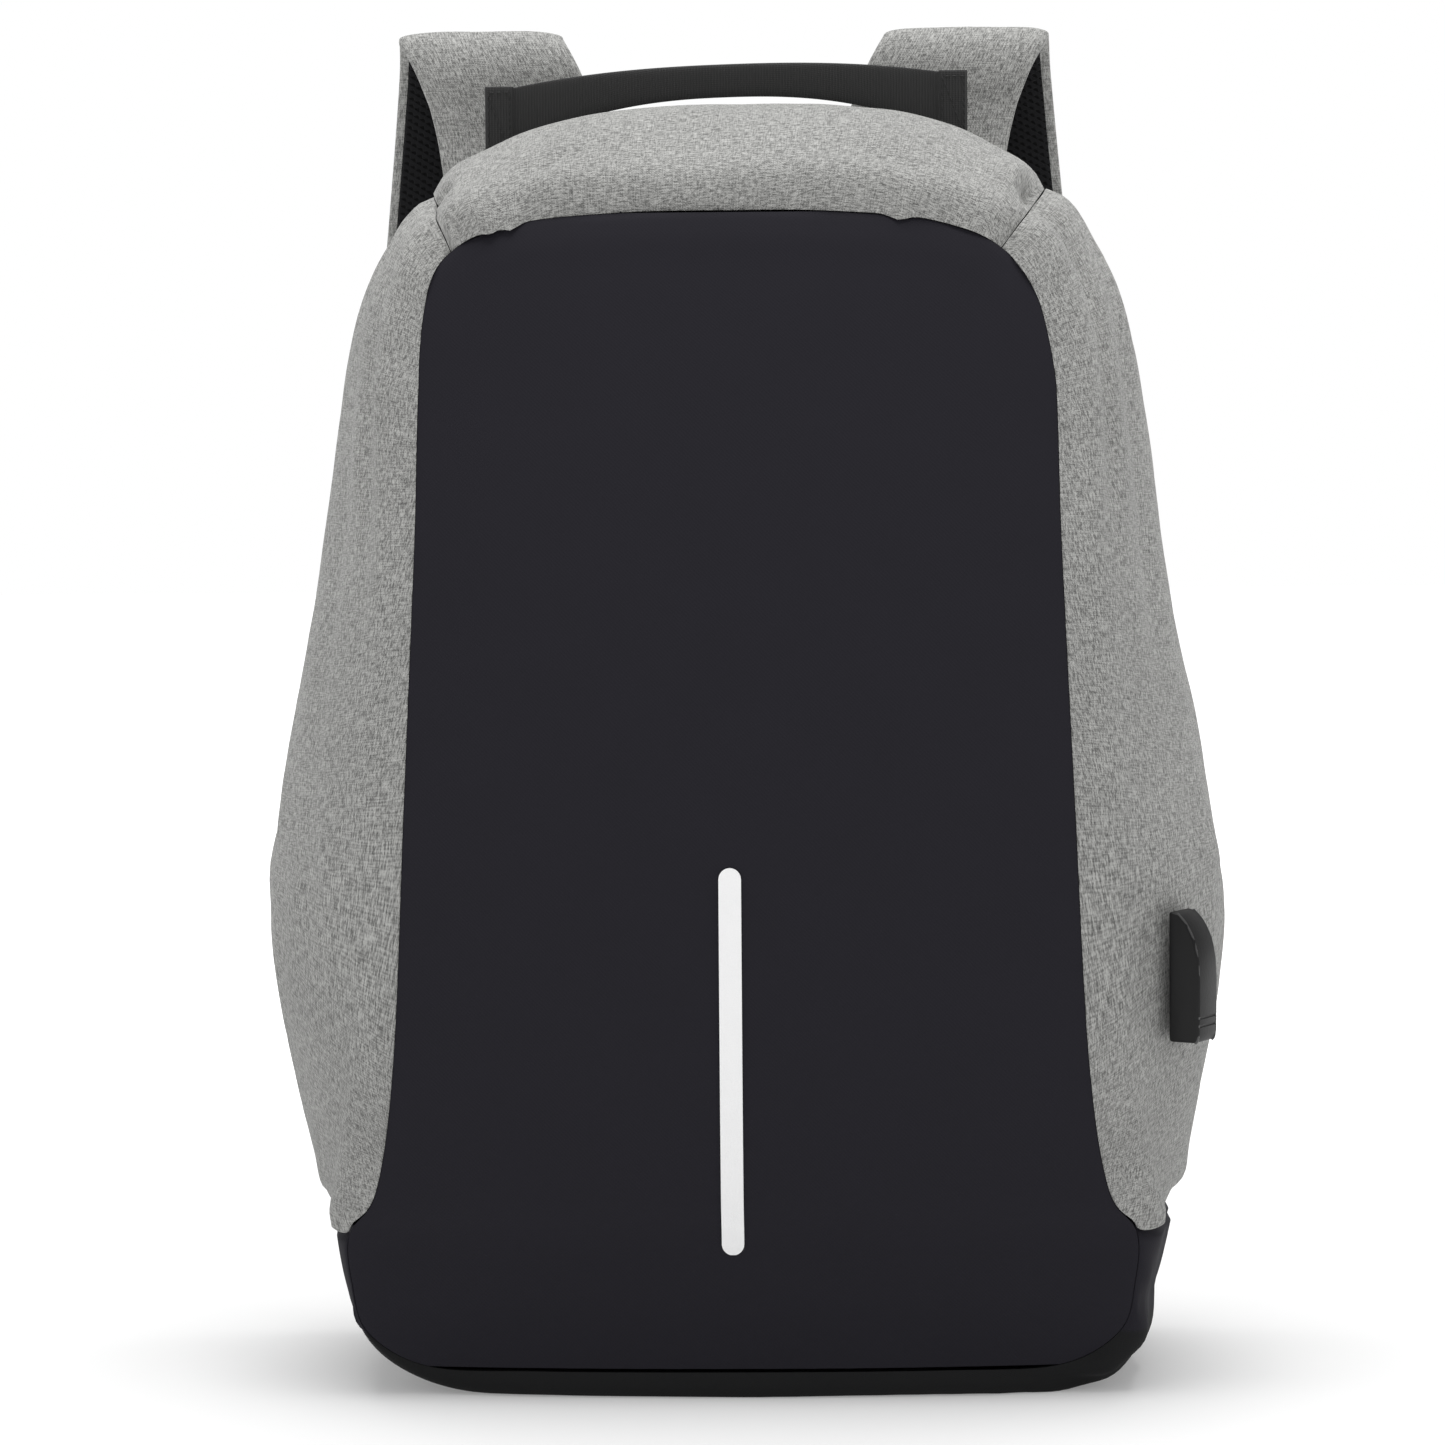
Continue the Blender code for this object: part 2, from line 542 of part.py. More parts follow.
# USB outlet on the right side: housing outside, plate and screws inside, lead to the pocket.
def build_usb():
    seat = Vector(skin(7.0, 0.205))
    normal = Vector((math.cos(USB_TURN), -math.sin(USB_TURN), 0))
    proud, deep, tall = USB_SIZE
    turn = Matrix.Rotation(math.atan2(normal.y, normal.x), 4, "Z")
    place = Matrix.Translation((seat.x, seat.y, USB_Z)) @ turn

    def boxed(name, low, high, surface, radius=0.0, segments=2):
        obj = rounded_box(name, low, high, surface, radius, segments)
        obj.matrix_world = place @ Matrix.Translation((Vector(low) + Vector(high)) / 2)
        return obj

    start = 0.0020
    # Its side seen from the front: curved over at the top, straight down, chamfered at the foot.
    half = tall / 2
    profile = [(0, -half), (proud - 0.0012, -half), (proud - 0.0002, -half + 0.0030),
               (proud, -0.002), (proud - 0.0004, 0.006), (proud - 0.0018, 0.0125),
               (proud - 0.0046, 0.0180), (proud - 0.0080, half - 0.0006), (0, half)]
    shape = bmesh.new()
    sides = [[shape.verts.new((start + x, y, z)) for x, z in profile] for y in (-deep / 2, deep / 2)]
    shape.faces.new(sides[0])
    shape.faces.new(sides[1][::-1])
    for i in range(len(profile)):
        j = (i + 1) % len(profile)
        shape.faces.new((sides[0][j], sides[0][i], sides[1][i], sides[1][j]))
    rims = [e for e in shape.edges if abs(e.verts[0].co.y - e.verts[1].co.y) < 1e-6
            and max(v.co.x for v in e.verts) > start + 0.001]
    bmesh.ops.bevel(shape, geom=rims, offset=0.0008, segments=1, affect="EDGES")
    bmesh.ops.recalc_face_normals(shape, faces=shape.faces)
    housing = from_bmesh("usb_housing", shape, PLASTIC)
    housing.matrix_world = place
    middle = start + proud / 2
    socket_low = (middle - 0.0027, -0.0062, -tall / 2 - 0.002)
    socket_high = (middle + 0.0027, 0.0062, -tall / 2 + 0.014)
    cut(housing, boxed("socket_cutter", socket_low, socket_high, PLASTIC))
    shell_low = (middle - 0.0024, -0.0060, -tall / 2 + 0.0004)
    shell_high = (middle + 0.0024, 0.0060, -tall / 2 + 0.0137)
    shell = boxed("usb_socket_shell", shell_low, shell_high, STEEL)
    inner_low = (middle - 0.0020, -0.0056, -tall / 2 - 0.002)
    inner_high = (middle + 0.0020, 0.0056, -tall / 2 + 0.0130)
    cut(shell, boxed("socket_shell_cutter", inner_low, inner_high, STEEL))
    boxed("usb_tongue", (middle - 0.0016, -0.0050, -tall / 2 + 0.001),
          (middle - 0.0002, 0.0050, -tall / 2 + 0.0126), PLASTIC)
    boxed("usb_back_plate", (-0.0105, -0.009, -0.021), (-0.0085, 0.009, 0.021), PLASTIC, 0.0005, 1)
    for name, z in (("upper", 0.0165), ("lower", -0.0185)):
        boxed(f"usb_{name}_screw", (-0.0122, -0.0022, z - 0.0022), (-0.0108, 0.0022, z + 0.0022),
              STEEL, 0.0003, 1)
    start_point = place @ Vector((-0.0112, 0, 0.002))
    pocket_x, pocket_y = 0.122, 0.002
    route = [start_point, start_point + normal * -0.006, (0.129, -0.032, 0.160),
             (pocket_x, -0.012, 0.176), (pocket_x, pocket_y, 0.166), (pocket_x, pocket_y, 0.149)]
    tube("usb_lead", route, 22, 0.0017, PLASTIC)
    rounded_box("usb_plug", (pocket_x - 0.004, pocket_y - 0.008, 0.118),
                (pocket_x + 0.004, pocket_y + 0.008, 0.1486), PLASTIC, 0.001, 1)
    open_pocket("power_bank_pocket", (0.108, -0.030, 0.060), (0.1345, 0.034, 0.146), LINING)


build_front()
build_walls()
build_back()
for strap_name, strap_side in (("left", -1), ("right", 1)):
    build_strap(strap_name, strap_side)
build_handle()
build_sliders()
build_usb()
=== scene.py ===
"""Looks of the backpack: cloth walls, straps, webbing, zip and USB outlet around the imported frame.

Metres, +Z up, the front panel faces -Y. Left and right are those of someone facing the panel.
"""

import json
import math

import bpy
import numpy as np
from mathutils import Matrix, Vector, noise

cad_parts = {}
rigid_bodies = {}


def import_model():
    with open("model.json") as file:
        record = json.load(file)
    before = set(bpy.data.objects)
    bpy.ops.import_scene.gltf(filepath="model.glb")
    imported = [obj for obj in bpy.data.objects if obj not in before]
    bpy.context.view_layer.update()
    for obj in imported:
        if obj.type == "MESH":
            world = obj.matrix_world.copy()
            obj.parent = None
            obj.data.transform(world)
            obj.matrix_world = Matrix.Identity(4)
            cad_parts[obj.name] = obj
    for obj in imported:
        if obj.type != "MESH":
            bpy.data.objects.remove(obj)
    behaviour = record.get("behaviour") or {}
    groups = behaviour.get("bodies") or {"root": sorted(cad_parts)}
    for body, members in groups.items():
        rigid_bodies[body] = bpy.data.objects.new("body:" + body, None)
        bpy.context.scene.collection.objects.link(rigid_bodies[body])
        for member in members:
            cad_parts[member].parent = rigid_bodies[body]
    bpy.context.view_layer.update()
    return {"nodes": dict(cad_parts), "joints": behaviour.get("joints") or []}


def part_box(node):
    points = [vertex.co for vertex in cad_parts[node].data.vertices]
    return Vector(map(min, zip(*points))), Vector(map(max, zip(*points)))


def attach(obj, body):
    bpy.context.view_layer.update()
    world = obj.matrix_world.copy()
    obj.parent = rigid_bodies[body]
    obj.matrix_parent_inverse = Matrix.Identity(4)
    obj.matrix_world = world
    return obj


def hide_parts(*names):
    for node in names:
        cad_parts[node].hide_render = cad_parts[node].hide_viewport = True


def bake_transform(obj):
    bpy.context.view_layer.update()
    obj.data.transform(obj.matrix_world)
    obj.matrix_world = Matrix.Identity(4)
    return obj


for old in list(bpy.data.objects):
    bpy.data.objects.remove(old, do_unlink=True)

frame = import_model()

# ---------------------------------------------------------------- camera, lights and floor

FRONT_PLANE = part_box("front_panel")[0].y
CAMERA_AWAY = 1.80  # from the front panel
CAMERA_TURN = math.radians(1.5)
CAMERA_LIFT = math.radians(4.0)
CAMERA_ROLL = math.radians(-0.45)
FRAME_WIDTH = 0.484  # what the frame spans at the front panel
AIM = Vector((-0.0050, FRONT_PLANE, 0.232))


def linked(name, data):
    """A new object in the scene."""
    made = bpy.data.objects.new(name, data)
    bpy.context.scene.collection.objects.link(made)
    return made


def add_camera():
    away = Vector((math.sin(CAMERA_TURN) * math.cos(CAMERA_LIFT),
                   -math.cos(CAMERA_TURN) * math.cos(CAMERA_LIFT), math.sin(CAMERA_LIFT)))
    data = bpy.data.cameras.new("camera")
    data.lens = data.sensor_width * CAMERA_AWAY / FRAME_WIDTH
    camera = linked("camera", data)
    camera.location = AIM + away * CAMERA_AWAY
    level = away.to_track_quat("Z", "Y").to_matrix()
    camera.rotation_euler = (level @ Matrix.Rotation(CAMERA_ROLL, 3, "Z")).to_euler()
    bpy.context.scene.camera = camera


def add_light(name, place, size, power, target=(0, 0, 0.2)):
    data = bpy.data.lights.new(name, "AREA")
    data.shape = "RECTANGLE"
    data.size, data.size_y = size
    data.energy = power
    light = linked(name, data)
    light.location = place
    light.rotation_euler = (Vector(place) - Vector(target)).to_track_quat("Z", "Y").to_euler()


WHITE = (1.0, 1.0, 1.0)
SKY_LIGHT, SKY_SEEN = 0.50, 1.0  # how strongly the surroundings light the bag, and how they look
LIGHTS = (  # name, place, size and watts
    ("overhead", (0.0, 0.1, 2.2), (1.6, 1.6), 45),
    ("front_left", (-1.5, -1.9, 1.1), (1.2, 1.6), 2.0),
    ("front_right", (1.6, -1.8, 1.0), (1.2, 1.6), 2.6),
)
# The floor glows; near the bag its glow is dimmed to a painted shade that darkens the shadow round
# it.
PAPER, PAPER_GLOW, NEAR_GLOW_PAINTED_SHADE = (0.72, 0.72, 0.72), 0.8, (0.27, 0.27, 0.27)
GLOW_NEAR, GLOW_FAR = 0.04, 1.0  # squared distances between which the floor's glow rises from a painted shade near the bag to white


def add_studio():
    """White surroundings, a large soft light overhead and a paper floor that glows white, its glow
    dimmed near the bag as a painted shade that tightens the shadow.
    """
    bpy.context.scene.view_settings.view_transform = "Standard"
    world = bpy.data.worlds.new("studio")
    world.use_nodes = True
    tree = world.node_tree
    sky, seen = tree.nodes["Background"], tree.nodes.new("ShaderNodeBackground")
    sky.inputs["Color"].default_value = seen.inputs["Color"].default_value = (*WHITE, 1.0)
    sky.inputs["Strength"].default_value = SKY_LIGHT
    seen.inputs["Strength"].default_value = SKY_SEEN
    path, mix = tree.nodes.new("ShaderNodeLightPath"), tree.nodes.new("ShaderNodeMixShader")
    tree.links.new(path.outputs["Is Camera Ray"], mix.inputs[0])
    tree.links.new(sky.outputs[0], mix.inputs[1])
    tree.links.new(seen.outputs[0], mix.inputs[2])
    tree.links.new(mix.outputs[0], tree.nodes["World Output"].inputs[0])
    bpy.context.scene.world = world
    for light in LIGHTS:
        add_light(*light)
    deselect()
    bpy.ops.mesh.primitive_plane_add(size=12)
    floor = bpy.context.object
    floor.name = "floor"
    paper = Finish("floor_paper_painted_shade", PAPER, 0.9, Emission_Color=(*WHITE, 1.0),
                   Emission_Strength=PAPER_GLOW)
    x, y, _ = paper.axes(paper.place("Object"))
    away = (x * x + y * y).step(GLOW_NEAR, GLOW_FAR)
    # Painted shade: the floor's glow is dimmer near the bag and white far off.
    paper.link("Emission Color", paper.blend(away, NEAR_GLOW_PAINTED_SHADE, WHITE))
    floor.data.materials.append(paper.made)


# ---------------------------------------------------------------- shader expressions


class Value:
    """One number that varies over a surface. Arithmetic on it adds Math nodes."""

    def __init__(self, finish, socket):
        self.finish, self.socket = finish, socket

    def math(self, operation, *others):
        made = self.finish.node("ShaderNodeMath", {"operation": operation}, *others)
        return Value(self.finish, made.outputs[0])

    def __add__(self, other):
        return self.math("ADD", self, other)

    def __radd__(self, other):
        return self.math("ADD", other, self)

    def __sub__(self, other):
        return self.math("SUBTRACT", self, other)

    def __rsub__(self, other):
        return self.math("SUBTRACT", other, self)

    def __mul__(self, other):
        return self.math("MULTIPLY", self, other)

    def __rmul__(self, other):
        return self.math("MULTIPLY", other, self)

    def __truediv__(self, other):
        return self.math("DIVIDE", self, other)

    def clamp(self):
        return self.math("MINIMUM", self.math("MAXIMUM", self, 0.0), 1.0)

    def sine(self):
        return self.math("SINE", self)

    def step(self, low, high):
        """0 below low, 1 above high, smooth between."""
        made = self.finish.node("ShaderNodeMapRange", {"interpolation_type": "SMOOTHSTEP"},
                                self, low, high, 0.0, 1.0)
        return Value(self.finish, made.outputs[0])


class Finish:
    """A material: constants sit on the shader's own sockets, what varies is linked to it."""

    def __init__(self, name, color, roughness, **constants):
        self.made = bpy.data.materials.new(name)
        self.made.use_nodes = True
        self.tree = self.made.node_tree
        self.shader = self.tree.nodes["Principled BSDF"]
        self.shader.inputs["Base Color"].default_value = (*color, 1.0)
        self.shader.inputs["Roughness"].default_value = roughness
        for socket, value in constants.items():
            self.shader.inputs[socket.replace("_", " ")].default_value = value

    def node(self, kind, settings, *values, **named):
        """Any node: its settings are set first, then the values or links of its sockets."""
        made = self.tree.nodes.new(kind)
        for key, value in settings.items():
            setattr(made, key, value)
        sockets = list(zip(made.inputs, values))
        sockets += [(made.inputs[key.replace("_", " ")], value) for key, value in named.items()]
        for socket, value in sockets:
            self.put(socket, value)
        return made

    def put(self, socket, value):
        if isinstance(value, Value):
            self.tree.links.new(value.socket, socket)
        elif isinstance(value, bpy.types.NodeSocket):
            self.tree.links.new(value, socket)
        elif value is not None:
            socket.default_value = value

    def link(self, name, value):
        self.put(self.shader.inputs[name], value)

    def place(self, source="Object", scale=(1, 1, 1), turn=0.0):
        """Coordinates over the piece: Object, or UV, which holds metres along the cloth."""
        found = self.node("ShaderNodeTexCoord", {}).outputs[source]
        mapping = self.node("ShaderNodeMapping", {}, Vector=found)
        mapping.inputs["Scale"].default_value = scale
        mapping.inputs["Rotation"].default_value = (0, 0, turn)
        return mapping.outputs[0]

    def axes(self, place):
        made = self.node("ShaderNodeSeparateXYZ", {}, place)
        return [Value(self, socket) for socket in made.outputs]

    def noise(self, place, scale, detail=2.0, roughness=0.5):
        made = self.node("ShaderNodeTexNoise", {}, Vector=place, Scale=scale, Detail=detail,
                         Roughness=roughness)
        return Value(self, made.outputs[0])

    def cells(self, place, scale, feature="F1", randomness=1.0):
        made = self.node("ShaderNodeTexVoronoi", {"feature": feature}, Vector=place, Scale=scale,
                         Randomness=randomness)
        return Value(self, made.outputs["Distance"])

    def blend(self, share, dark, light):
        """A colour between two, by share."""
        made = self.node("ShaderNodeMix", {"data_type": "RGBA", "clamp_factor": True}, share)
        for index, color in ((6, dark), (7, light)):
            fixed = not isinstance(color, bpy.types.NodeSocket)
            self.put(made.inputs[index], (*color, 1.0) if fixed else color)
        return made.outputs[2]

    def bump(self, height, distance, strength=1.0, under=None):
        made = self.node("ShaderNodeBump", {}, Strength=strength, Distance=distance, Height=height,
                         Normal=under)
        return made.outputs[0]


YARN = 0.00052  # between neighbouring yarns of the outer cloth


def weave_height(u, v, pitch=YARN):
    """Plain weave: yarns pass over and under each other."""
    turn = math.pi / pitch
    over = (u * turn).sine() * (v * turn).sine()
    return over.step(-0.9, 0.9)


def shaded(tint, share):
    """A tint made darker or lighter."""
    return tuple(min(1.0, share * c) for c in tint)


def heather(name, tint):
    """Grey cloth of mixed light and dark yarns that run mostly one way."""
    finish = Finish(name, tint, 0.92, Sheen_Weight=0.1, Sheen_Roughness=0.6,
                    Specular_IOR_Level=0.2)
    cloth = finish.place("UV")
    along = finish.noise(finish.place("UV", (1 / 0.00056, 1 / 0.0040, 1)), 1.0, 3.0, 0.65)
    fine = finish.noise(finish.place("UV", (1 / 0.00038, 1 / 0.0014, 1)), 1.0, 2.0, 0.6)
    cross = finish.noise(finish.place("UV", (1 / 0.0040, 1 / 0.00048, 1)), 1.0, 2.0)
    patch = finish.noise(cloth, 26.0, 3.0)
    fleck = along * 0.44 + fine * 0.32 + cross * 0.24
    shade = fleck.step(0.38, 0.62)
    u, v, _ = finish.axes(cloth)
    weave = weave_height(u, v)
    tone = (shade * 0.90 + weave * 0.10 + (patch - 0.5) * 0.22).clamp()
    finish.link("Base Color", finish.blend(tone, shaded(tint, 0.34), shaded(tint, 1.74)))
    relief = weave * 0.5 + fleck * 0.7
    finish.link("Normal", finish.bump(relief, 0.00028, 0.5))
    finish.link("Roughness", 0.86 + shade * 0.1)
    return finish


def coated_cloth(name, tint, pitch, relief, sheen=0.05, rough=0.7, upright=False):
    """Dark closely woven cloth with a matt coating."""
    finish = Finish(name, tint, rough, Sheen_Weight=sheen, Sheen_Roughness=0.5,
                    Specular_IOR_Level=0.1)
    cloth = finish.place("Object" if upright else "UV")
    u, v, w = finish.axes(cloth)
    if upright:
        u, v = u + v, w
    weave = weave_height(u, v, pitch)
    wear = finish.noise(cloth, 35.0, 3.0, 0.6)
    tone = (weave * 0.25 + wear * 0.6).clamp()
    finish.link("Base Color", finish.blend(tone, shaded(tint, 0.86), shaded(tint, 1.12)))
    finish.link("Roughness", rough - 0.06 + wear * 0.12)
    finish.link("Normal", finish.bump(weave, relief, 0.5))
    return finish


FOOT_SEAM, FOOT_SEAM_WIDE = 0.0240, 0.0022  # height at which the base cloth changes
FOOT_BLACK = (0.0132, 0.0134, 0.0138)


def base_cloth():
    """The panel's cloth up to a seam round the foot, and hard-wearing black cloth below it."""
    finish = coated_cloth("base_cloth", PANEL_TINT, 0.0007, 0.00010, sheen=0.0, rough=0.72)
    upper = finish.shader.inputs["Base Color"].links[0].from_socket
    _, y, z = finish.axes(finish.place("Object"))
    wave = finish.noise(finish.place("Object", (30, 30, 30)), 1.0, 2.0) * 0.004
    above = (z + wave + (y * -0.03)).step(FOOT_SEAM, FOOT_SEAM + FOOT_SEAM_WIDE)
    finish.link("Base Color", finish.blend(above, FOOT_BLACK, upper))
    return finish


def webbing(name, tint, rib):
    """Ribbed webbing: ribs cross the band, fine yarns run along it."""
    finish = Finish(name, tint, 0.8, Sheen_Weight=0.1, Sheen_Roughness=0.5, Specular_IOR_Level=0.25)
    cloth = finish.place("UV")
    u, v, _ = finish.axes(cloth)
    ribs = (v * (2 * math.pi / rib)).sine() * 0.5 + 0.5
    yarns = (u * (2 * math.pi / (rib * 0.7))).sine() * 0.5 + 0.5
    fuzz = finish.noise(finish.place("UV", (1 / 0.004, 1 / 0.0005, 1)), 1.0, 2.0)
    tone = (ribs * 0.35 + yarns * 0.15 + fuzz * 0.5).clamp()
    finish.link("Base Color", finish.blend(tone, shaded(tint, 0.6), shaded(tint, 1.45)))
    finish.link("Roughness", 0.72 + fuzz * 0.16)
    finish.link("Normal", finish.bump(ribs + yarns * 0.3, 0.00035, 0.7))
    return finish


def spacer_mesh(name, tint, pitch, upright=False):
    """Three-dimensional mesh: a regular net of small holes over darker filling."""
    finish = Finish(name, tint, 0.9, Sheen_Weight=0.05, Specular_IOR_Level=0.12)
    source = "Object" if upright else "UV"  # an upright pad's net lies in X and Z
    u, v, w = finish.axes(finish.place(source, (1 / pitch,) * 3))
    v = w if upright else v
    tall = math.pi * 1.73
    net = (u * (math.pi * 2)).sine() * 0.25 + (u * math.pi + v * tall).sine() * 0.25
    net = net + (v * tall - u * math.pi).sine() * 0.5
    hole = net.step(0.05, 0.5)
    yarn = finish.noise(finish.place(source, (1 / 0.0006,) * 3), 1.0, 2.0)
    tone = ((1 - hole) * 0.8 + yarn * 0.3).clamp()
    finish.link("Base Color", finish.blend(tone, shaded(tint, 0.25), shaded(tint, 1.7)))
    finish.link("Normal", finish.bump((1 - hole) + yarn * 0.2, 0.0008, 0.8))
    return finish


def moulded(name, tint, rough, grain=0.0012, metallic=0.0, gloss=0.45):
    """Moulded plastic or plated metal with a fine grain and faint handling marks."""
    finish = Finish(name, tint, rough, Metallic=metallic, Specular_IOR_Level=gloss)
    fine = finish.noise(finish.place("Object"), 1 / grain, 2.0)
    marks = finish.noise(finish.place("Object", (60, 60, 14)), 1.0, 4.0, 0.65)
    finish.link("Base Color", finish.blend(marks.step(0.3, 0.8), shaded(tint, 0.85),
                                           shaded(tint, 1.2)))
    finish.link("Roughness", (rough - 0.08 + marks * 0.16).clamp())
    finish.link("Normal", finish.bump(fine, 0.00008, 0.6))
    return finish


def reflective_tape():
    """White tape full of tiny glass beads, with faint soiling."""
    finish = Finish("reflective_tape", (0.93, 0.93, 0.93), 0.4)
    place = finish.place("Object")
    beads = finish.cells(place, 2600.0)
    soil = finish.noise(place, 90.0, 3.0, 0.6)
    finish.link("Base Color", finish.blend((beads * 0.5 + soil * 0.6).clamp(), (0.95, 0.95, 0.95),
                                           (0.88, 0.88, 0.885)))
    finish.link("Roughness", 0.3 + soil * 0.2)
    finish.link("Normal", finish.bump(beads, 0.0001, 0.4))
    return finish


# ---------------------------------------------------------------- modelling tools

TINY = 1e-9  # keeps a division by a length from failing
RIGHT, BACK, UP = np.eye(3)


def deselect():
    for obj in bpy.context.selected_objects:
        obj.select_set(False)


def pick(obj):
    deselect()
    obj.select_set(True)
    bpy.context.view_layer.objects.active = obj


def apply_modifiers(obj):
    pick(obj)
    for modifier in list(obj.modifiers):
        bpy.ops.object.modifier_apply(modifier=modifier.name)


def settle(obj):
    """Puts the object at the origin with its place in its mesh."""
    pick(obj)
    bpy.ops.object.transform_apply(location=True, rotation=True, scale=True)


def smooth(obj, angle):
    """Smooths the shading except at edges sharper than the angle, in degrees."""
    pick(obj)
    bpy.ops.object.shade_smooth_by_angle(angle=math.radians(angle))
    return obj


def rounded(obj, width, segments, sharper_than=30):
    """Rounds the edges that are sharper than an angle, in degrees."""
    rounding = obj.modifiers.new("rounding", "BEVEL")
    rounding.width, rounding.segments, rounding.limit_method = width, segments, "ANGLE"
    rounding.angle_limit = math.radians(sharper_than)
    apply_modifiers(obj)


def cut(obj, cutter):
    """Takes one piece out of another, and removes it."""
    taken = obj.modifiers.new("cut", "BOOLEAN")
    taken.operation, taken.object, taken.solver = "DIFFERENCE", cutter, "EXACT"
    apply_modifiers(obj)
    bpy.data.objects.remove(cutter)


def places_of(obj):
    return np.array([v.co for v in obj.data.vertices])


def move_points(obj, places):
    obj.data.vertices.foreach_set("co", places.astype(np.float32).ravel())


def dress(obj, name, finish, body, slot, *nodes, inside=None):
    """Names a finished piece, gives it its material and puts it on its body."""
    obj.name = name
    if inside:
        obj.data.materials[0], obj.data.materials[1] = finish.made, inside.made
    else:
        obj.data.materials.clear()
        obj.data.materials.append(finish.made)
    if body:
        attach(obj, body)
    if nodes:
        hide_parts(*nodes)
    return obj


def lengths(grid, axis):
    """How far along the cloth each grid point lies in one direction."""
    steps = np.linalg.norm(np.diff(grid, axis=axis), axis=2)
    start = np.zeros_like(steps.take([0], axis=axis))
    return np.concatenate([start, np.cumsum(steps, axis=axis)], axis=axis)


def distance_along(points):
    """How far along a line each of its points lies."""
    return np.concatenate([[0], np.cumsum(np.linalg.norm(np.diff(points, axis=0), axis=1))])


def facings(grid):
    """Unit normals of a grid whose columns run across and rows along."""
    along, across = np.gradient(grid, axis=0), np.gradient(grid, axis=1)
    found = np.cross(across, along)
    return found / np.maximum(np.linalg.norm(found, axis=2, keepdims=True), 1e-12)


def cloth_mesh(name, grid, thickness, lined=False):
    """A wall of cloth from a grid of points, with a UV map in metres. Its drawn face is outside."""
    rows, columns, _ = grid.shape
    index = np.arange(rows * columns).reshape(rows, columns)
    faces = [(index[i, j], index[i, j + 1], index[i + 1, j + 1], index[i + 1, j])
             for i in range(rows - 1) for j in range(columns - 1)]
    mesh = bpy.data.meshes.new(name)
    mesh.from_pydata(grid.reshape(-1, 3).tolist(), [], faces)
    middle = columns // 2
    across = lengths(grid, 1)
    across = across - across[:, middle:middle + 1]
    along = np.repeat(lengths(grid, 0)[:, middle:middle + 1], columns, axis=1)
    places = np.stack([across, along], axis=2).reshape(-1, 2)
    layer = mesh.uv_layers.new(name="cloth")
    corners = np.empty(len(mesh.loops), np.int32)
    mesh.loops.foreach_get("vertex_index", corners)
    layer.data.foreach_set("uv", places[corners].astype(np.float32).ravel())
    obj = linked(name, mesh)
    if thickness:
        wall = obj.modifiers.new("wall", "SOLIDIFY")
        wall.thickness, wall.offset = thickness, -1.0
        if lined:
            mesh.materials.append(None)
            mesh.materials.append(None)
            wall.material_offset = 1
        apply_modifiers(obj)
    return obj


def ring_mesh(name, rings, open_end=False):
    """A skin over rings of points, with a UV map in metres. open_end leaves the last one open."""
    count, sides = len(rings), len(rings[0])
    grid = np.array(rings, float)
    mesh = bpy.data.meshes.new(name)
    faces = [(i * sides + j, i * sides + (j + 1) % sides, (i + 1) * sides + (j + 1) % sides,
              (i + 1) * sides + j) for i in range(count - 1) for j in range(sides)]
    faces.append(tuple(range(sides))[::-1])
    if not open_end:
        faces.append(tuple((count - 1) * sides + j for j in range(sides)))
    mesh.from_pydata(grid.reshape(-1, 3).tolist(), [], faces)
    closed = np.concatenate([grid, grid[:, :1]], axis=1)
    across, along = lengths(closed, 1), lengths(closed, 0)
    layer = mesh.uv_layers.new(name="cloth")
    for face in mesh.polygons[: (count - 1) * sides]:
        i, j = divmod(face.index, sides)
        corners = (i, j), (i, j + 1), (i + 1, j + 1), (i + 1, j)
        for loop, (row, column) in zip(face.loop_indices, corners):
            layer.data[loop].uv = (across[row, column], along[row].mean())
    obj = linked(name, mesh)
    recalculate(obj)
    return obj


def recalculate(obj):
    """Points every face outwards."""
    pick(obj)
    bpy.ops.object.mode_set(mode="EDIT")
    bpy.ops.mesh.select_all(action="SELECT")
    bpy.ops.mesh.normals_make_consistent(inside=False)
    bpy.ops.object.mode_set(mode="OBJECT")


def joined(name, pieces):
    """Several small pieces of one kind as one object."""
    deselect()
    for piece in pieces:
        piece.select_set(True)
    bpy.context.view_layer.objects.active = pieces[0]
    bpy.ops.object.join()
    pieces[0].name = name
    return pieces[0]


def rounded_block(size, place, radius, segments=3, turn=None):
    """A block with rounded edges, added at its size and place."""
    deselect()
    bpy.ops.mesh.primitive_cube_add(size=1, location=place)
    block = bpy.context.object
    block.scale = size
    if turn is not None:
        block.rotation_euler = turn
    settle(block)
    rounded(block, radius, segments)
    return block


def beads(name, lines, size, pitch, lift=0.0):
    """Small rounded grains along lines of (point, facing): size is (across, out, along)."""
    deselect()
    bpy.ops.mesh.primitive_uv_sphere_add(segments=6, ring_count=4, radius=0.5)
    seed = bpy.context.object
    grain = places_of(seed)
    seed_faces = [tuple(p.vertices) for p in seed.data.polygons]
    points, faces = [], []
    for line in lines:
        places = np.array([p for p, _ in line], float)
        outs = np.array([f for _, f in line], float)
        run = distance_along(places)

        def at(where, values):
            return np.array([np.interp(where, run, values[:, k]) for k in range(3)])

        for where in np.arange(pitch / 2, run[-1], pitch):
            ahead = at(where + pitch / 3, places) - at(where - pitch / 3, places)
            ahead /= max(np.linalg.norm(ahead), TINY)
            out = at(where, outs)
            out = out - ahead * out.dot(ahead)
            out /= max(np.linalg.norm(out), TINY)
            side = np.cross(out, ahead)
            shape = (grain[:, :1] * side * size[0] + grain[:, 1:2] * out * size[1]
                     + grain[:, 2:] * ahead * size[2])
            faces += [tuple(i + len(points) for i in face) for face in seed_faces]
            points += (at(where, places) + out * lift + shape).tolist()
    bpy.data.objects.remove(seed)
    mesh = bpy.data.meshes.new(name)
    mesh.from_pydata(points, [], faces)
    obj = linked(name, mesh)
    recalculate(obj)
    smooth(obj, 80)
    return obj


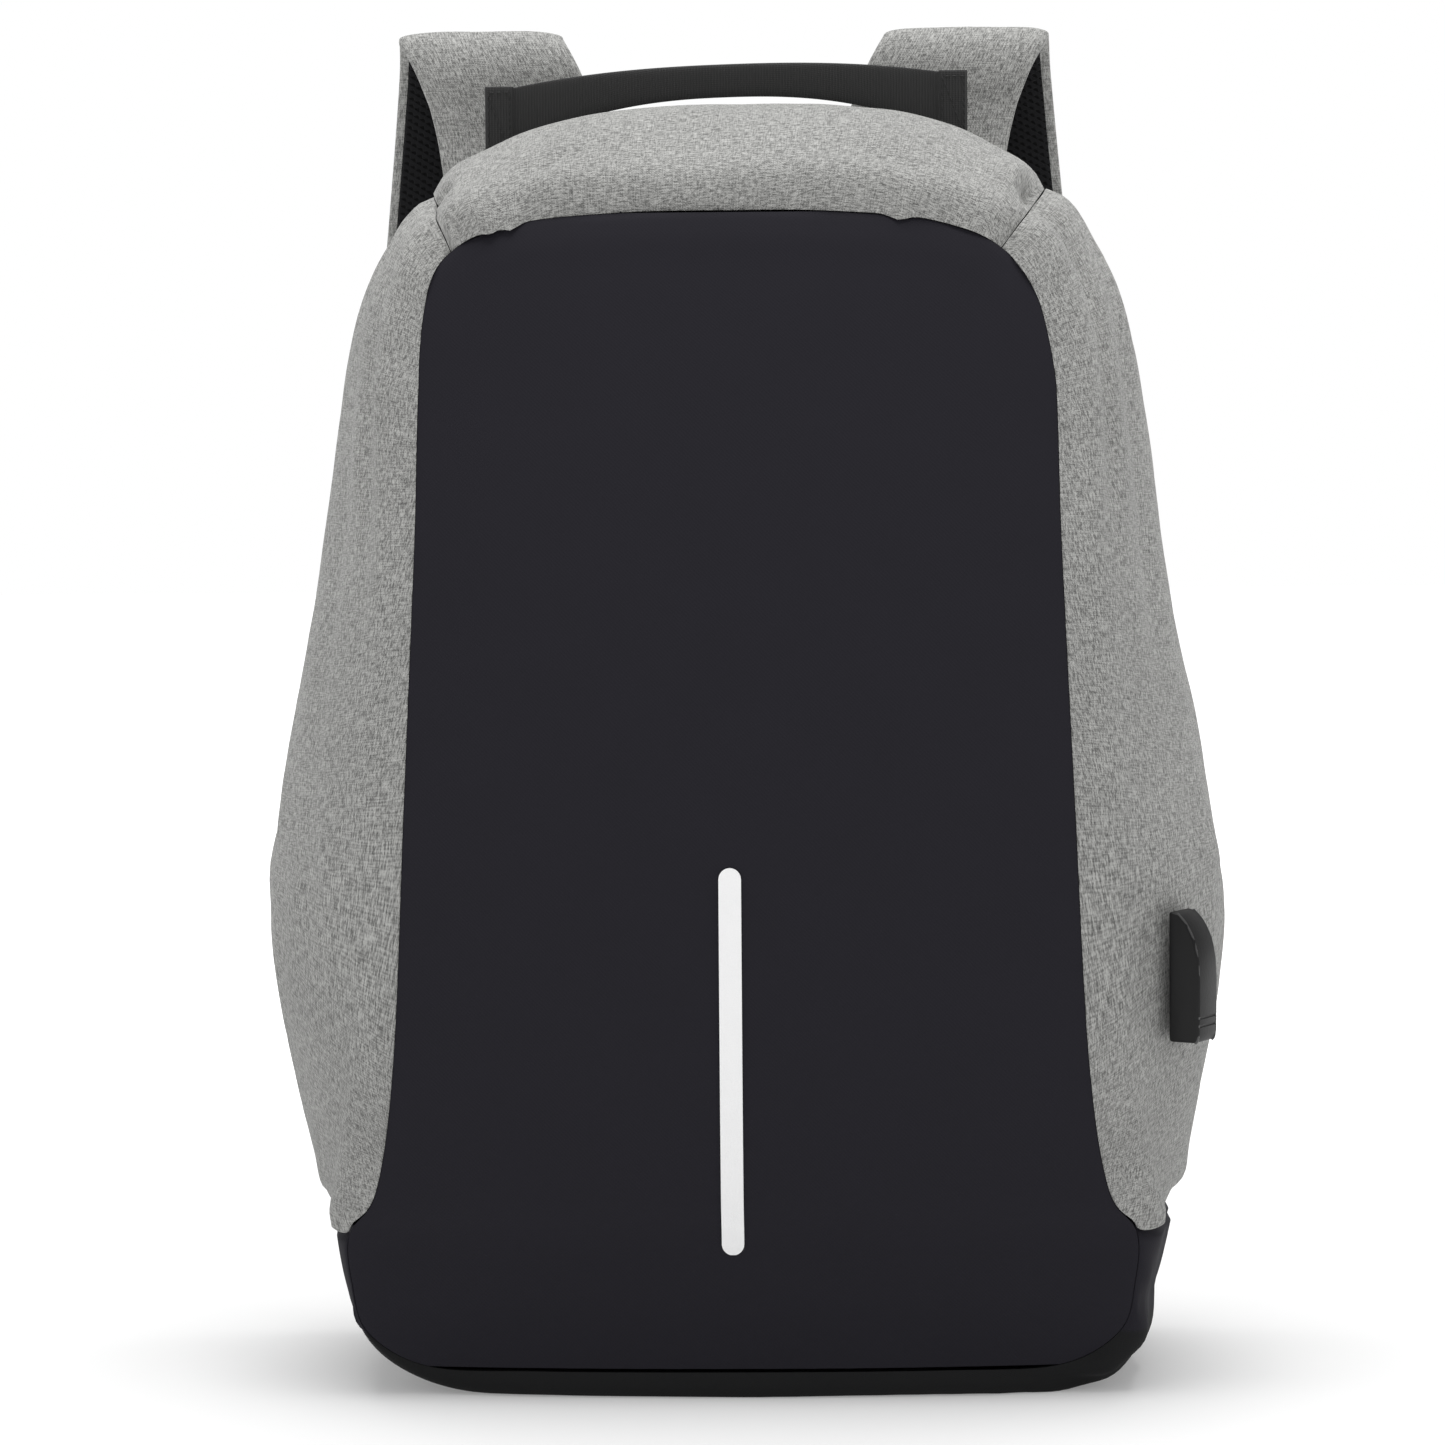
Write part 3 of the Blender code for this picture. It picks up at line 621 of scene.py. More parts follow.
# Stitches: their pitch, the length of thread that shows, and half its thickness.
HEAVY_STITCH = (0.0032, 0.0022, 0.00032)
TAB_STITCH = (0.0026, 0.0019, 0.00028)
HOOK_STITCH = (0.0026, 0.0019, 0.00026)
TAIL_STITCH = (0.0024, 0.0017, 0.00026)
PAD_STITCH = (0.0030, 0.0021, 0.00022)
HINGE_STITCH = (0.0030, 0.0021, 0.00025)
POCKET_STITCH = (0.0040, 0.0028, 0.00028)


def stitches(name, lines, finish, body, stitch=HEAVY_STITCH):
    """Rows of thread lying on the cloth."""
    pitch, length, thick = stitch
    thread = beads(name, lines, (2 * thick, 2 * thick, length), pitch, thick * 0.4)
    return dress(thread, name, finish, body, "webbing")


# ---------------------------------------------------------------- the bag's outline

LEFTWARD = (-1, 1, 1)  # mirrors a point at the middle plane
WALL = 0.0022  # thickness of the bag's cloth with its lining
BACK_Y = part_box("zip_tape_shell_side")[0].y - 0.0003
BASE_BACK_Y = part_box("base")[1].y
TIP_ROW, CORNER_ROW, TOP_ROW = 5, 11.2, 14
BACK_TURN = math.radians(55)  # how far the cloth has turned in where it meets the zip

# Three lines round the bag, within a few millimetres of the frame's. Rows run from the middle of
# the underside, round one side, to the middle of the top.
FRONT_SEAM = np.array([
    (0.0, -0.072, 0.009), (0.070, -0.069, 0.009), (0.108, -0.064, 0.010), (0.1285, -0.064, 0.0215),
    (0.1335, -0.068, 0.039), (0.134, -0.071, 0.057), (0.124, -0.0765, 0.073),
    (0.1175, -0.0785, 0.118), (0.1132, -0.0755, 0.2048), (0.1095, -0.066, 0.290),
    (0.1072, -0.054, 0.356), (0.0975, -0.047, 0.3868), (0.073, -0.0435, 0.3995),
    (0.036, -0.042, 0.4035), (0.0, -0.042, 0.404),
])
WIDEST_LINE = np.array([
    (0.0, 0.0, -0.002), (0.070, 0.0, -0.002), (0.106, 0.0, -0.001), (0.131, 0.0, 0.011),
    (0.140, 0.0, 0.032), (0.1463, 0.0, 0.0570), (0.1545, 0.0, 0.083), (0.1675, 0.002, 0.1525),
    (0.1625, 0.003, 0.200), (0.147, 0.005, 0.286), (0.135, 0.010, 0.3665),
    (0.1137, 0.016, 0.4066), (0.080, 0.020, 0.4320), (0.040, 0.021, 0.4415), (0.0, 0.021, 0.4432),
])
BACK_SEAM = np.array([
    (0.0, BACK_Y, 0.006), (0.070, BACK_Y, 0.006), (0.102, BACK_Y, 0.007), (0.124, BACK_Y, 0.020),
    (0.131, BACK_Y, 0.036), (0.135, BACK_Y, 0.0535), (0.1445, BACK_Y, 0.083),
    (0.152, BACK_Y, 0.1525), (0.148, BACK_Y, 0.200), (0.136, BACK_Y, 0.285),
    (0.1245, BACK_Y, 0.359), (0.1065, BACK_Y, 0.394), (0.076, BACK_Y, 0.419),
    (0.040, BACK_Y, 0.4285), (0.0, BACK_Y, 0.430),
])
# How far the filled bag leans to the right at its widest line, by height.
LOW_LEAN = (0.0, 0.012, 0.030, 0.06, 0.12, 0.17), (0.0080, 0.0070, 0.0028, 0.0026, 0.0022, 0.0)
# And to the left at the front seam.
TOP_LEAN = (0.345, 0.372, 0.385, 0.400), (0.0, -0.0017, -0.0035, -0.0040)


def straight_on(end, inner):
    return 2 * end - inner


def mirrored(end, inner):
    """A point past the end of half an outline: it goes on in mirror image at the middle plane."""
    return inner * LEFTWARD if abs(end[0]) < TINY else straight_on(end, inner)


def smooth_point(line, at, beyond=straight_on):
    """The point of a smooth curve through the line's rows, at a row number with a fraction."""
    first = min(int(at), len(line) - 2)
    share = at - first
    p1, p2 = line[first], line[first + 1]
    p0 = line[first - 1] if first else beyond(p1, p2)
    p3 = line[first + 2] if first + 2 < len(line) else beyond(p2, p1)
    return 0.5 * (
        2 * p1 + (p2 - p0) * share + (2 * p0 - 5 * p1 + 4 * p2 - p3) * share**2
        + (3 * p1 - p0 - 3 * p2 + p3) * share**3
    )


def seam_point(line, row):
    point = smooth_point(line, abs(row), mirrored)
    return point * LEFTWARD if row < 0 else point


def skin_grid(rows, shares):
    """The bag's outside. Shares run from the front seam, 0, over the widest line to the back, 1."""
    rows, shares = np.array(rows, float), np.array(shares, float)
    front, wide, back = (np.array([seam_point(line, row) for row in rows])[:, None, :]
                         for line in (FRONT_SEAM, WIDEST_LINE, BACK_SEAM))
    front, wide = front.copy(), wide.copy()
    front[..., 0] += np.interp(front[..., 2], *TOP_LEAN)
    wide[..., 0] += np.interp(wide[..., 2], *LOW_LEAN)
    flatness = np.maximum(0.0, 1 - np.abs(rows) / 4)[:, None]
    power = 2 / (1.85 + 3.8 * flatness)
    turn = np.clip(shares, 0, 0.5)[None, :] * math.pi
    out, deep = np.sin(turn) ** power, 1 - np.maximum(np.cos(turn), 0) ** power
    ahead = front + (wide - front) * np.stack([out, deep, out], axis=2)
    turn = (np.clip(shares, 0.5, 1) * 2 - 1)[None, :] * BACK_TURN
    inward = ((1 - np.cos(turn)) / (1 - math.cos(BACK_TURN))) ** (1 + 2 * flatness)
    deep = np.sin(turn) / math.sin(BACK_TURN) + 0 * inward
    behind = wide + (back - wide) * np.stack([inward, deep, inward], axis=2)
    low = (np.abs(rows) < TIP_ROW)[:, None]
    behind[..., 1] += np.where(low, (BASE_BACK_Y - BACK_Y) * deep, 0)
    grid = np.where((shares < 0.5)[None, :, None], ahead, behind)
    grid[..., 2] = np.maximum(grid[..., 2], 0)
    return grid


def fade(distance, reach):
    return np.exp(-((distance / reach) ** 2))


def ripple(along, across, size, seed):
    """Soft unevenness of stuffed cloth, about -0.5 to 0.5. Its size is (along, across)."""
    flat = zip((along / size[0]).ravel(), (across / size[1]).ravel())
    values = [noise.noise(Vector((a, b, seed))) for a, b in flat]
    return np.array(values).reshape(along.shape) * 0.6


def fold(along, across, place, size, depth, lean=0.0):
    """One soft crease: its place, its length and width, its depth, and how far it leans."""
    a, b = along - place[0], across - place[1]
    run = a * math.cos(lean) + b * math.sin(lean)
    off = b * math.cos(lean) - a * math.sin(lean)
    return -depth * fade(run, size[0]) * (fade(off, size[1]) - 0.45 * fade(off, 2.4 * size[1]))


PINCH, PINCH_REACH = 0.0026, 0.0032  # how cloth dips into a seam
ROLL, ROLL_AT, ROLL_REACH = 0.0016, 0.012, 0.008  # and the soft roll beside it


def dent(along, across, place, reach):
    """1 in the middle of a small oval, 0 outside it."""
    far = np.hypot((along - place[0]) / reach[0], (across - place[1]) / reach[1])
    return fade(far, 1.0)


def seamed(distance, pinch=PINCH, roll=ROLL):
    return roll * fade(distance - ROLL_AT, ROLL_REACH) - pinch * fade(distance, PINCH_REACH)


# ---------------------------------------------------------------- finishes

GREY = heather("heather_grey", (0.268, 0.268, 0.259))
PANEL_TINT = (0.0177, 0.0168, 0.0219)
PANEL = coated_cloth("panel_cloth", PANEL_TINT, 0.0007, 0.00006, sheen=0.0, rough=0.8)
BASE = base_cloth()
LINING = coated_cloth("lining_cloth", (0.055, 0.055, 0.06), 0.0009, 0.00012, sheen=0.1, rough=0.6)
INNER_LINING = coated_cloth("inner_lining", (0.055, 0.055, 0.06), 0.0009, 0.00012, sheen=0.1,
                            rough=0.6, upright=True)
ZIP_CLOTH = webbing("zip_tape_cloth", (0.014, 0.014, 0.014), 0.0012)
BAND = webbing("black_band", (0.029, 0.029, 0.029), 0.00105)
MESH = spacer_mesh("pad_mesh", (0.0085, 0.0085, 0.0092), 0.0023)
BACK_MESH = spacer_mesh("back_pad_mesh", (0.018, 0.018, 0.019), 0.0042, upright=True)
TAPE = reflective_tape()
PLASTIC = moulded("moulded_black", (0.022, 0.022, 0.023), 0.42)
SOCKET = moulded("socket_core", (0.75, 0.75, 0.74), 0.4)
STEEL = moulded("plated_metal", (0.62, 0.62, 0.62), 0.28, metallic=1.0)
DARK_METAL = moulded("dark_metal", (0.05, 0.05, 0.052), 0.36, metallic=1.0)
JACKET = moulded("lead_jacket", (0.016, 0.016, 0.016), 0.5)
FOAM = moulded("foam_sheet", (0.045, 0.045, 0.05), 0.95, grain=0.0009)
BOARD_FOAM = 0.0030  # thickness
HOUSING = moulded("outlet_black", (0.0085, 0.0085, 0.0088), 0.42, gloss=0.2)
# The bead's lighter black is a painted highlight on the outlet's rounded edges.
BEAD_PAINTED_HIGHLIGHT = moulded("outlet_bead_painted_highlight", (0.05, 0.05, 0.05), 0.3)
HOOKS = moulded("hook_tape", (0.012, 0.012, 0.012), 0.85, grain=0.0006)
DARK_THREAD = moulded("dark_thread", (0.02, 0.02, 0.02), 0.7, grain=0.0004)
GREY_THREAD = moulded("grey_thread", (0.27, 0.27, 0.265), 0.9, grain=0.0004)


# ---------------------------------------------------------------- walls of the bag

CLOTH_STEP = 0.0028  # between the points of a wall's grid


def even_rows(line, first, last, step=CLOTH_STEP):
    """Row numbers that lie evenly along a seam line."""
    fine = np.linspace(first, last, 900)
    points = np.array([seam_point(line, row) for row in fine])
    run = distance_along(points)
    return np.interp(np.linspace(0, run[-1], int(run[-1] / step) + 1), run, fine)


def nearest(points, line):
    """Distance from each grid point to the nearest point of a line."""
    flat = points.reshape(-1, 3)
    found = np.full(len(flat), 9.0)
    for start in range(0, len(line), 64):
        gaps = np.linalg.norm(flat[:, None, :] - line[None, start:start + 64, :], axis=2)
        found = np.minimum(found, gaps.min(axis=1))
    return found.reshape(points.shape[:2])


def gathers(run, distance, seed, pitch, depth, reach):
    """Small puckers where a long cloth is sewn to a shorter one: they stand square to the seam."""
    pinned = 1 - fade(distance, 0.004)
    uneven = ripple(run, distance * 0.12, (pitch, pitch), seed)
    return depth * 2 * uneven * fade(distance, reach) * pinned


def swell(grid, height):
    grid = grid + facings(grid) * height[..., None]
    grid[..., 2] = np.maximum(grid[..., 2], 0)
    return grid


def tip_curve(shares):
    """How far a side wall's lower end rises either side of its rounded tip."""
    front, back = np.clip(1 - shares / 0.08, 0, 1), np.clip((shares - 0.10) / 0.34, 0, 1)
    return 0.0012 * front**2 + 0.0080 * back**1.2


# Each fold's place and size along and across the cloth, its depth and its lean.
SIDE_FOLDS = {
    1: (((0.300, 0.024), (0.060, 0.0050), 0.0034, 0.10),
        ((0.240, 0.046), (0.055, 0.0070), 0.0020, -0.06),
        ((0.330, 0.052), (0.030, 0.0042), 0.0030, 0.35),
        ((0.120, 0.060), (0.055, 0.0085), 0.0016, 0.05)),
    -1: (((0.285, 0.022), (0.070, 0.0055), 0.0030, 0.06),
         ((0.205, 0.044), (0.075, 0.0080), 0.0024, -0.05),
         ((0.325, 0.046), (0.028, 0.0042), 0.0026, -0.35),
         ((0.110, 0.040), (0.060, 0.0090), 0.0016, 0.04)),
}
BASE_FOLDS = (
    ((0.120, 0.012), (0.028, 0.0035), 0.0022, 0.35),
    ((0.138, 0.020), (0.020, 0.0032), 0.0020, -0.3),
    ((-0.128, 0.024), (0.026, 0.0050), 0.0005, -0.3),
)
# Where the roll of cloth over the panel's edge drops: along the seam, and how far.
ROLL_DROPS = ((0.050, 0.0018), (-0.034, 0.0019), (-0.024, 0.0013))


def side_wall(side):
    """A side gusset with its soft roll beside the panel, its long folds and its puckered corner."""
    rows = even_rows(WIDEST_LINE, TIP_ROW + 0.004, CORNER_ROW - 0.006)
    rows = rows if side > 0 else -rows[::-1]
    shares = np.linspace(0, 1, 62)
    grid = skin_grid(rows, shares)
    across, along = lengths(grid, 1), lengths(grid, 0)
    from_back = across[:, -1:] - across
    tip, corner = along, along[-1:] - along
    if side < 0:
        tip, corner = corner, tip
    run = np.broadcast_to(tip[:, :1], tip.shape)
    height = seamed(across, 0.0002, 0.0026) + seamed(from_back, 0.0012, 0.0010)
    height += seamed(tip, 0.0004, 0.0008) + seamed(corner, 0.0014, 0.0014)
    near_corner = fade(corner, 0.075)
    height += gathers(run, across, 3.1 + side, 0.011, 0.0016, 0.016) * (0.25 + near_corner)
    height += gathers(across, corner, 7.7 + side, 0.010, 0.0016, 0.018)
    for place, size, depth, lean in SIDE_FOLDS[side]:
        height += fold(run, across, place, size, depth, lean)
    quiet = 1 - fade(across, 0.010)
    height += 0.0032 * ripple(run, across, (0.085, 0.026), 11.3 * side) * quiet
    height += 0.0013 * ripple(run, across, (0.034, 0.012), 5.9 * side) * quiet
    height += 0.0004 * ripple(run, across, (0.012, 0.006), 2.2 * side)
    name = "right" if side > 0 else "left"
    grid = swell(grid, height)
    grid[..., 2] += fade(tip, 0.008) * tip_curve(shares)[None, :]
    wall = cloth_mesh(f"{name}_wall", grid, WALL, lined=True)
    dress(smooth(wall, 80), f"{name}_side_wall", GREY, "shell", "heather_fabric",
          f"{name}_side_gusset",
          inside=LINING)


def top_wall():
    """The top gusset, puckered where it turns the corners of the panel."""
    half = even_rows(WIDEST_LINE, CORNER_ROW + 0.006, TOP_ROW)
    rows = np.array([*half, *-half[-2::-1]])
    shares = np.linspace(0, 1, 50)
    grid = skin_grid(rows, shares)
    across, along = lengths(grid, 1), lengths(grid, 0)
    from_back = across[:, -1:] - across
    start, end = along, along[-1:] - along
    run = np.broadcast_to(along[:, 25:26], along.shape)
    ends = fade(start, 0.045) + fade(end, 0.045)
    height = seamed(across, 0.0002, 0.0026) + seamed(from_back, 0.0012, 0.0010)
    height += seamed(start, 0.0014, 0.0014) + seamed(end, 0.0014, 0.0014)
    height += gathers(run, across, 21.4, 0.012, 0.0016, 0.013) * (0.55 + ends)
    height += fold(run, across, (0.055, 0.020), (0.016, 0.0040), 0.0026, lean=0.55)
    height += fold(run, across, (run.max() - 0.050, 0.022), (0.018, 0.0040), 0.0024, lean=-0.5)
    height += 0.0026 * ripple(run, across, (0.060, 0.028), 1.7)
    height += 0.0012 * ripple(run, across, (0.022, 0.014), 8.4)
    # A small hole in the left corner's seam, an open fold in the right one.
    height -= 0.0070 * dent(end, across, (0.0035, 0.036), (0.0040, 0.0034))
    height += 0.0030 * dent(start, across, (0.0130, 0.038), (0.0050, 0.0090))
    height -= 0.0060 * dent(start, across, (0.0040, 0.038), (0.0034, 0.0095))
    grid = swell(grid, height)
    for place, drop in ROLL_DROPS:
        at = place if place > 0 else run.max() + place
        bump = drop * fade(np.abs(run - at), 0.0040) * fade(across, 0.0050)
        grid[..., 1] -= 1.2 * bump
        grid[..., 2] -= bump
    wall = cloth_mesh("top_wall_cloth", grid, WALL, lined=True)
    dress(smooth(wall, 80), "top_wall", GREY, "shell", "heather_fabric", "top_gusset",
          inside=LINING)


def base_wall():
    """The black base: one band of coated cloth under the bag and up round its corners."""
    half = even_rows(WIDEST_LINE, 0, TIP_ROW + 0.22)
    rows = np.array([*-half[:0:-1], *half])
    shares = np.concatenate([np.linspace(0, 0.5, 40)[:-1], np.linspace(0.5, 1, 26)])
    grid = skin_grid(rows, shares)
    across, along = lengths(grid, 1), lengths(grid, 0)
    from_back = across[:, -1:] - across
    run = np.broadcast_to(along[:, 39:40] - along[len(rows) // 2, 39], along.shape)
    towards_side = np.clip(np.abs(run) / 0.12, 0, 1)
    height = seamed(across, 0.0, 0.0007) + seamed(from_back, 0.0010, 0.0008)
    tucked = np.clip((np.abs(rows)[:, None] - TIP_ROW + 0.06) / 0.05, 0, 1)  # under the side walls
    left = np.where(run < 0, 0.05, 1.0)  # the left corner is smoother than the right one
    corner = fade(np.abs(run) - 0.135, 0.05)
    height += gathers(run, across, 31.0, 0.014, 0.0016, 0.020) * (0.35 + corner) * left
    uneven = 0.0030 * ripple(run, across, (0.040, 0.020), 17.9)
    height += uneven * towards_side * left * (1 - fade(across, 0.006))
    for place, size, depth, lean in BASE_FOLDS:
        height += fold(run, across, place, size, depth, lean)
    height = height * (1 - tucked) - 0.0026 * tucked
    wall = cloth_mesh("base_cloth_wall", swell(grid, height), WALL, lined=True)
    dress(smooth(wall, 80), "base_wall", BASE, "shell", "base_fabric", "base", inside=LINING)


def panel_crown(z):
    """How far the panel's middle stands proud of its edges at a height."""
    lift = np.clip((z + 0.02) / 0.435, 0, 1)
    return 0.0085 * np.sin(math.pi * lift) ** 0.6 + 0.004 * np.exp(-z / 0.05)


def panel_grid(first, last, columns, inset, depth, step=CLOTH_STEP):
    """Rows of points across the panel, inset from its seam and set back by depth."""
    rows = even_rows(FRONT_SEAM, first, last, step)
    edges = np.array([seam_point(FRONT_SEAM, row) for row in rows])
    ahead = np.array([seam_point(FRONT_SEAM, min(row + 0.05, TOP_ROW))
                      - seam_point(FRONT_SEAM, row - 0.05) for row in rows])
    inward = np.stack([-ahead[:, 2], 0 * ahead[:, 0], ahead[:, 0]], axis=1)
    inward /= np.linalg.norm(inward, axis=1, keepdims=True)
    edges = edges + inward * inset
    sides = np.sin(np.linspace(-1, 1, columns) * math.pi / 2)
    sides = 0.45 * sides + 0.55 * np.linspace(-1, 1, columns)
    bulge = panel_crown(edges[:, 2])[:, None] * (1 - np.abs(sides)[None, :] ** 2.2)
    grid = np.empty((len(rows), columns, 3))
    grid[..., 0] = edges[:, :1] * sides + np.interp(edges[:, 2:], *TOP_LEAN)
    grid[..., 1] = edges[:, 1:2] - bulge + depth
    grid[..., 2] = edges[:, 2:]
    return grid


PANEL_THICK = 0.0032
STRIP_THICK, STRIP_PROUD = 0.0009, 0.0010  # how thick the tape is, and how far its face stands out
PANEL_LIP = 0.0009  # the panel's cloth lies over the rims of the walls behind it
SEAM_TRACK = np.array([seam_point(FRONT_SEAM, row) for row in np.linspace(-13.99, 13.99, 700)])
SEAM_TRACK[:, 0] += np.interp(SEAM_TRACK[:, 2], *TOP_LEAN)


def front_panel():
    """The stiff front: one plain panel that dips softly into its seam all the way round."""
    grid = panel_grid(2.0, 13.0, 110, 0.0002, 0.0)
    away = nearest(grid * (1, 0, 1), SEAM_TRACK * (1, 0, 1))
    height = PANEL_LIP + 0.0004 * fade(away - 0.009, 0.006) - 0.0006 * fade(away, 0.0016)
    height += 0.0007 * ripple(grid[..., 2], grid[..., 0], (0.120, 0.080), 3.3)
    low = fade(grid[..., 2] - 0.030, 0.035)
    height += gathers(grid[..., 0], grid[..., 2] - 0.009, 9.1, 0.030, 0.0009, 0.016) * low
    grid[..., 1] -= height
    wall = cloth_mesh("front_panel_shell", grid, PANEL_THICK, lined=True)
    dress(smooth(wall, 80), "front_panel_cloth", PANEL, "shell", "panel_fabric", "front_panel",
          inside=LINING)
    return grid


def panel_face(grid, x, z):
    """The y of the panel's face at a place."""
    row = np.abs(grid[:, 0, 2] - z).argmin()
    return float(np.interp(x, grid[row, :, 0], grid[row, :, 1]))


def reflective_strip(grid):
    """A flat tape with round ends, welded to the panel."""
    low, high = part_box("reflective_strip")
    middle, half = (low.x + high.x) / 2, (high.x - low.x) / 2
    steps = np.linspace(0, math.pi, 13)
    top = [(middle - half * math.cos(a), high.z - half + half * math.sin(a)) for a in steps]
    bottom = [(middle + half * math.cos(a), low.z + half - half * math.sin(a)) for a in steps]
    side = np.linspace(low.z + half, high.z - half, 34)[1:-1]
    levels = sorted({round(z, 6) for _, z in top + bottom} | {round(z, 6) for z in side})
    rows = []
    for z in levels:
        past = max(0.0, z - (high.z - half), (low.z + half) - z)
        wide = max(math.sqrt(max(half**2 - past**2, 0)), half * 0.02)
        rows.append([(middle + wide * s, panel_face(grid, middle + wide * s, z) - STRIP_PROUD, z)
                     for s in np.linspace(-1, 1, 9)])
    strip = cloth_mesh("strip_tape", np.array(rows), STRIP_THICK)
    rounded(strip, STRIP_THICK / 3, 2)
    dress(smooth(strip, 60), "reflective_strip_tape", TAPE, "shell", "reflective_tape",
          "reflective_strip")


# ---------------------------------------------------------------- webbing, handle and straps


def superellipse(count, half_wide, half_thick, power=3.2):
    """Points of a flat rounded section, (across, out), going round once."""
    turns = np.linspace(0, 2 * math.pi, count, endpoint=False)
    cos, sin = np.cos(turns), np.sin(turns)
    return np.stack([np.sign(cos) * np.abs(cos) ** (2 / power) * half_wide,
                     np.sign(sin) * np.abs(sin) ** (2 / power) * half_thick], axis=1)


def directions(path):
    ahead = np.gradient(path, axis=0)
    return ahead / np.linalg.norm(ahead, axis=1, keepdims=True)


def swept(name, path, across, halves, section=24, power=3.2, shape=None):
    """A band along a path. Its across vector and its (half width, half thickness) may change."""
    path = np.array(path, float)
    across = np.broadcast_to(np.array(across, float), path.shape)
    halves = np.broadcast_to(np.array(halves, float), (len(path), 2))
    ahead = directions(path)
    across = across / np.linalg.norm(across, axis=1, keepdims=True)
    out = np.cross(across, ahead)
    out /= np.linalg.norm(out, axis=1, keepdims=True)
    rings = []
    for i, (wide, thick) in enumerate(halves):
        ring = superellipse(section, wide, thick, power)
        if shape is not None:
            ring = shape(ring, i)
        rings.append(path[i] + ring[:, :1] * across[i] + ring[:, 1:] * out[i])
    return ring_mesh(name, rings)


def along_curve(points, count):
    """Points spread evenly along a smooth curve through a few route points."""
    line = np.array(points, float)
    fine = np.array([smooth_point(line, at) for at in np.linspace(0, len(line) - 1, 400)])
    run = distance_along(fine)
    wanted = np.linspace(0, run[-1], count)
    return np.stack([np.interp(wanted, run, fine[:, k]) for k in range(3)], axis=1)


HANG_SHIFT = -0.0055  # the handle sits this far left of the middle
HANDLE_NUDGE = 0.0020  # the end patches sit this far right of the solid ones
HANDLE_HALF, HANDLE_Y, TAB_WIDE = 0.086, 0.045, 0.0105
PATCH_FACE = 0.00165  # from the handle's middle plane to the stitched face of a patch


def carry_handle():
    """Flat webbing, folded double where the hand holds it, sewn between two end patches."""
    inner = HANDLE_HALF - TAB_WIDE
    shares = np.linspace(-1.02, 1.02, 110)
    lift = 1 - np.minimum(np.abs(shares), 1) ** 2.4
    path = np.stack([HANG_SHIFT + inner * shares, HANDLE_Y + 0 * shares,
                     0.4423 + 0.0022 * shares + 0.0098 * lift], axis=1)
    folded = np.clip(lift * 1.15 - 0.15, 0, 1)
    halves = np.stack([0.0103 - 0.0044 * lift, 0.0008 + 0.0014 * folded], axis=1)
    band = swept("carry_band", path, UP, halves, 32, 4.0)
    dress(smooth(band, 60), "handle_webbing", BAND, "handle", "webbing", "handle_band")
    lines = []
    for name in ("left", "right"):
        low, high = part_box(f"handle_{name}_tab")
        middle = (low.x + high.x) / 2 + HANDLE_NUDGE
        x = np.linspace(low.x, high.x, 16) + HANDLE_NUDGE
        middle_z, half_z = (low.z + high.z) / 2, (high.z - low.z) / 2
        from_end = np.minimum(x - x[0], x[-1] - x)
        thick = 0.0017 * np.clip(from_end / 0.0009 + 0.55, 0, 1)
        patch = swept(f"{name}_patch", np.stack([x, HANDLE_Y + 0 * x, middle_z + 0 * x], axis=1),
                      UP, [(half_z, t) for t in thick], 32, 7.0)
        dress(smooth(patch, 60), f"handle_{name}_patch", BAND, "handle", "webbing",
              f"handle_{name}_tab")
        left, right = middle - TAB_WIDE / 2 + 0.0014, middle + TAB_WIDE / 2 - 0.0014
        top, bottom = high.z - 0.0022, low.z + 0.0020
        box = [(left, bottom), (left, top), (right, top), (right, bottom), (left, top)]
        for towards in (-1, 1):
            face = HANDLE_Y + towards * PATCH_FACE
            lines.append([((x, face, z), (0, towards, 0)) for x, z in box])
    stitches("handle_stitches", lines, DARK_THREAD, "handle", TAB_STITCH)


STRAP_SHIFT, STRAP_X, STRAP_LEAN = -0.0073, 0.0877, 0.013
STRAP_WIDE, PAD_THICK, MESH_THICK = 0.060, 0.007, 0.0025
SEAM_IN = 0.0046  # from the pad's edge to its row of stitches
ROOT_Y, ROOT_Z = 0.0765, 0.440


def strap_path(side, count=150):
    x = STRAP_SHIFT + side * STRAP_X
    places = ((-STRAP_LEAN, ROOT_Y, ROOT_Z), (-0.006, 0.078, 0.4575), (0.0, 0.0845, 0.468),
              (0.001, 0.095, 0.468), (0.002, 0.1025, 0.455), (0.006, 0.108, 0.414),
              (0.013, 0.1105, 0.345), (0.021, 0.109, 0.275), (0.029, 0.104, 0.210))
    return along_curve([(x + side * out, y, z) for out, y, z in places], count)


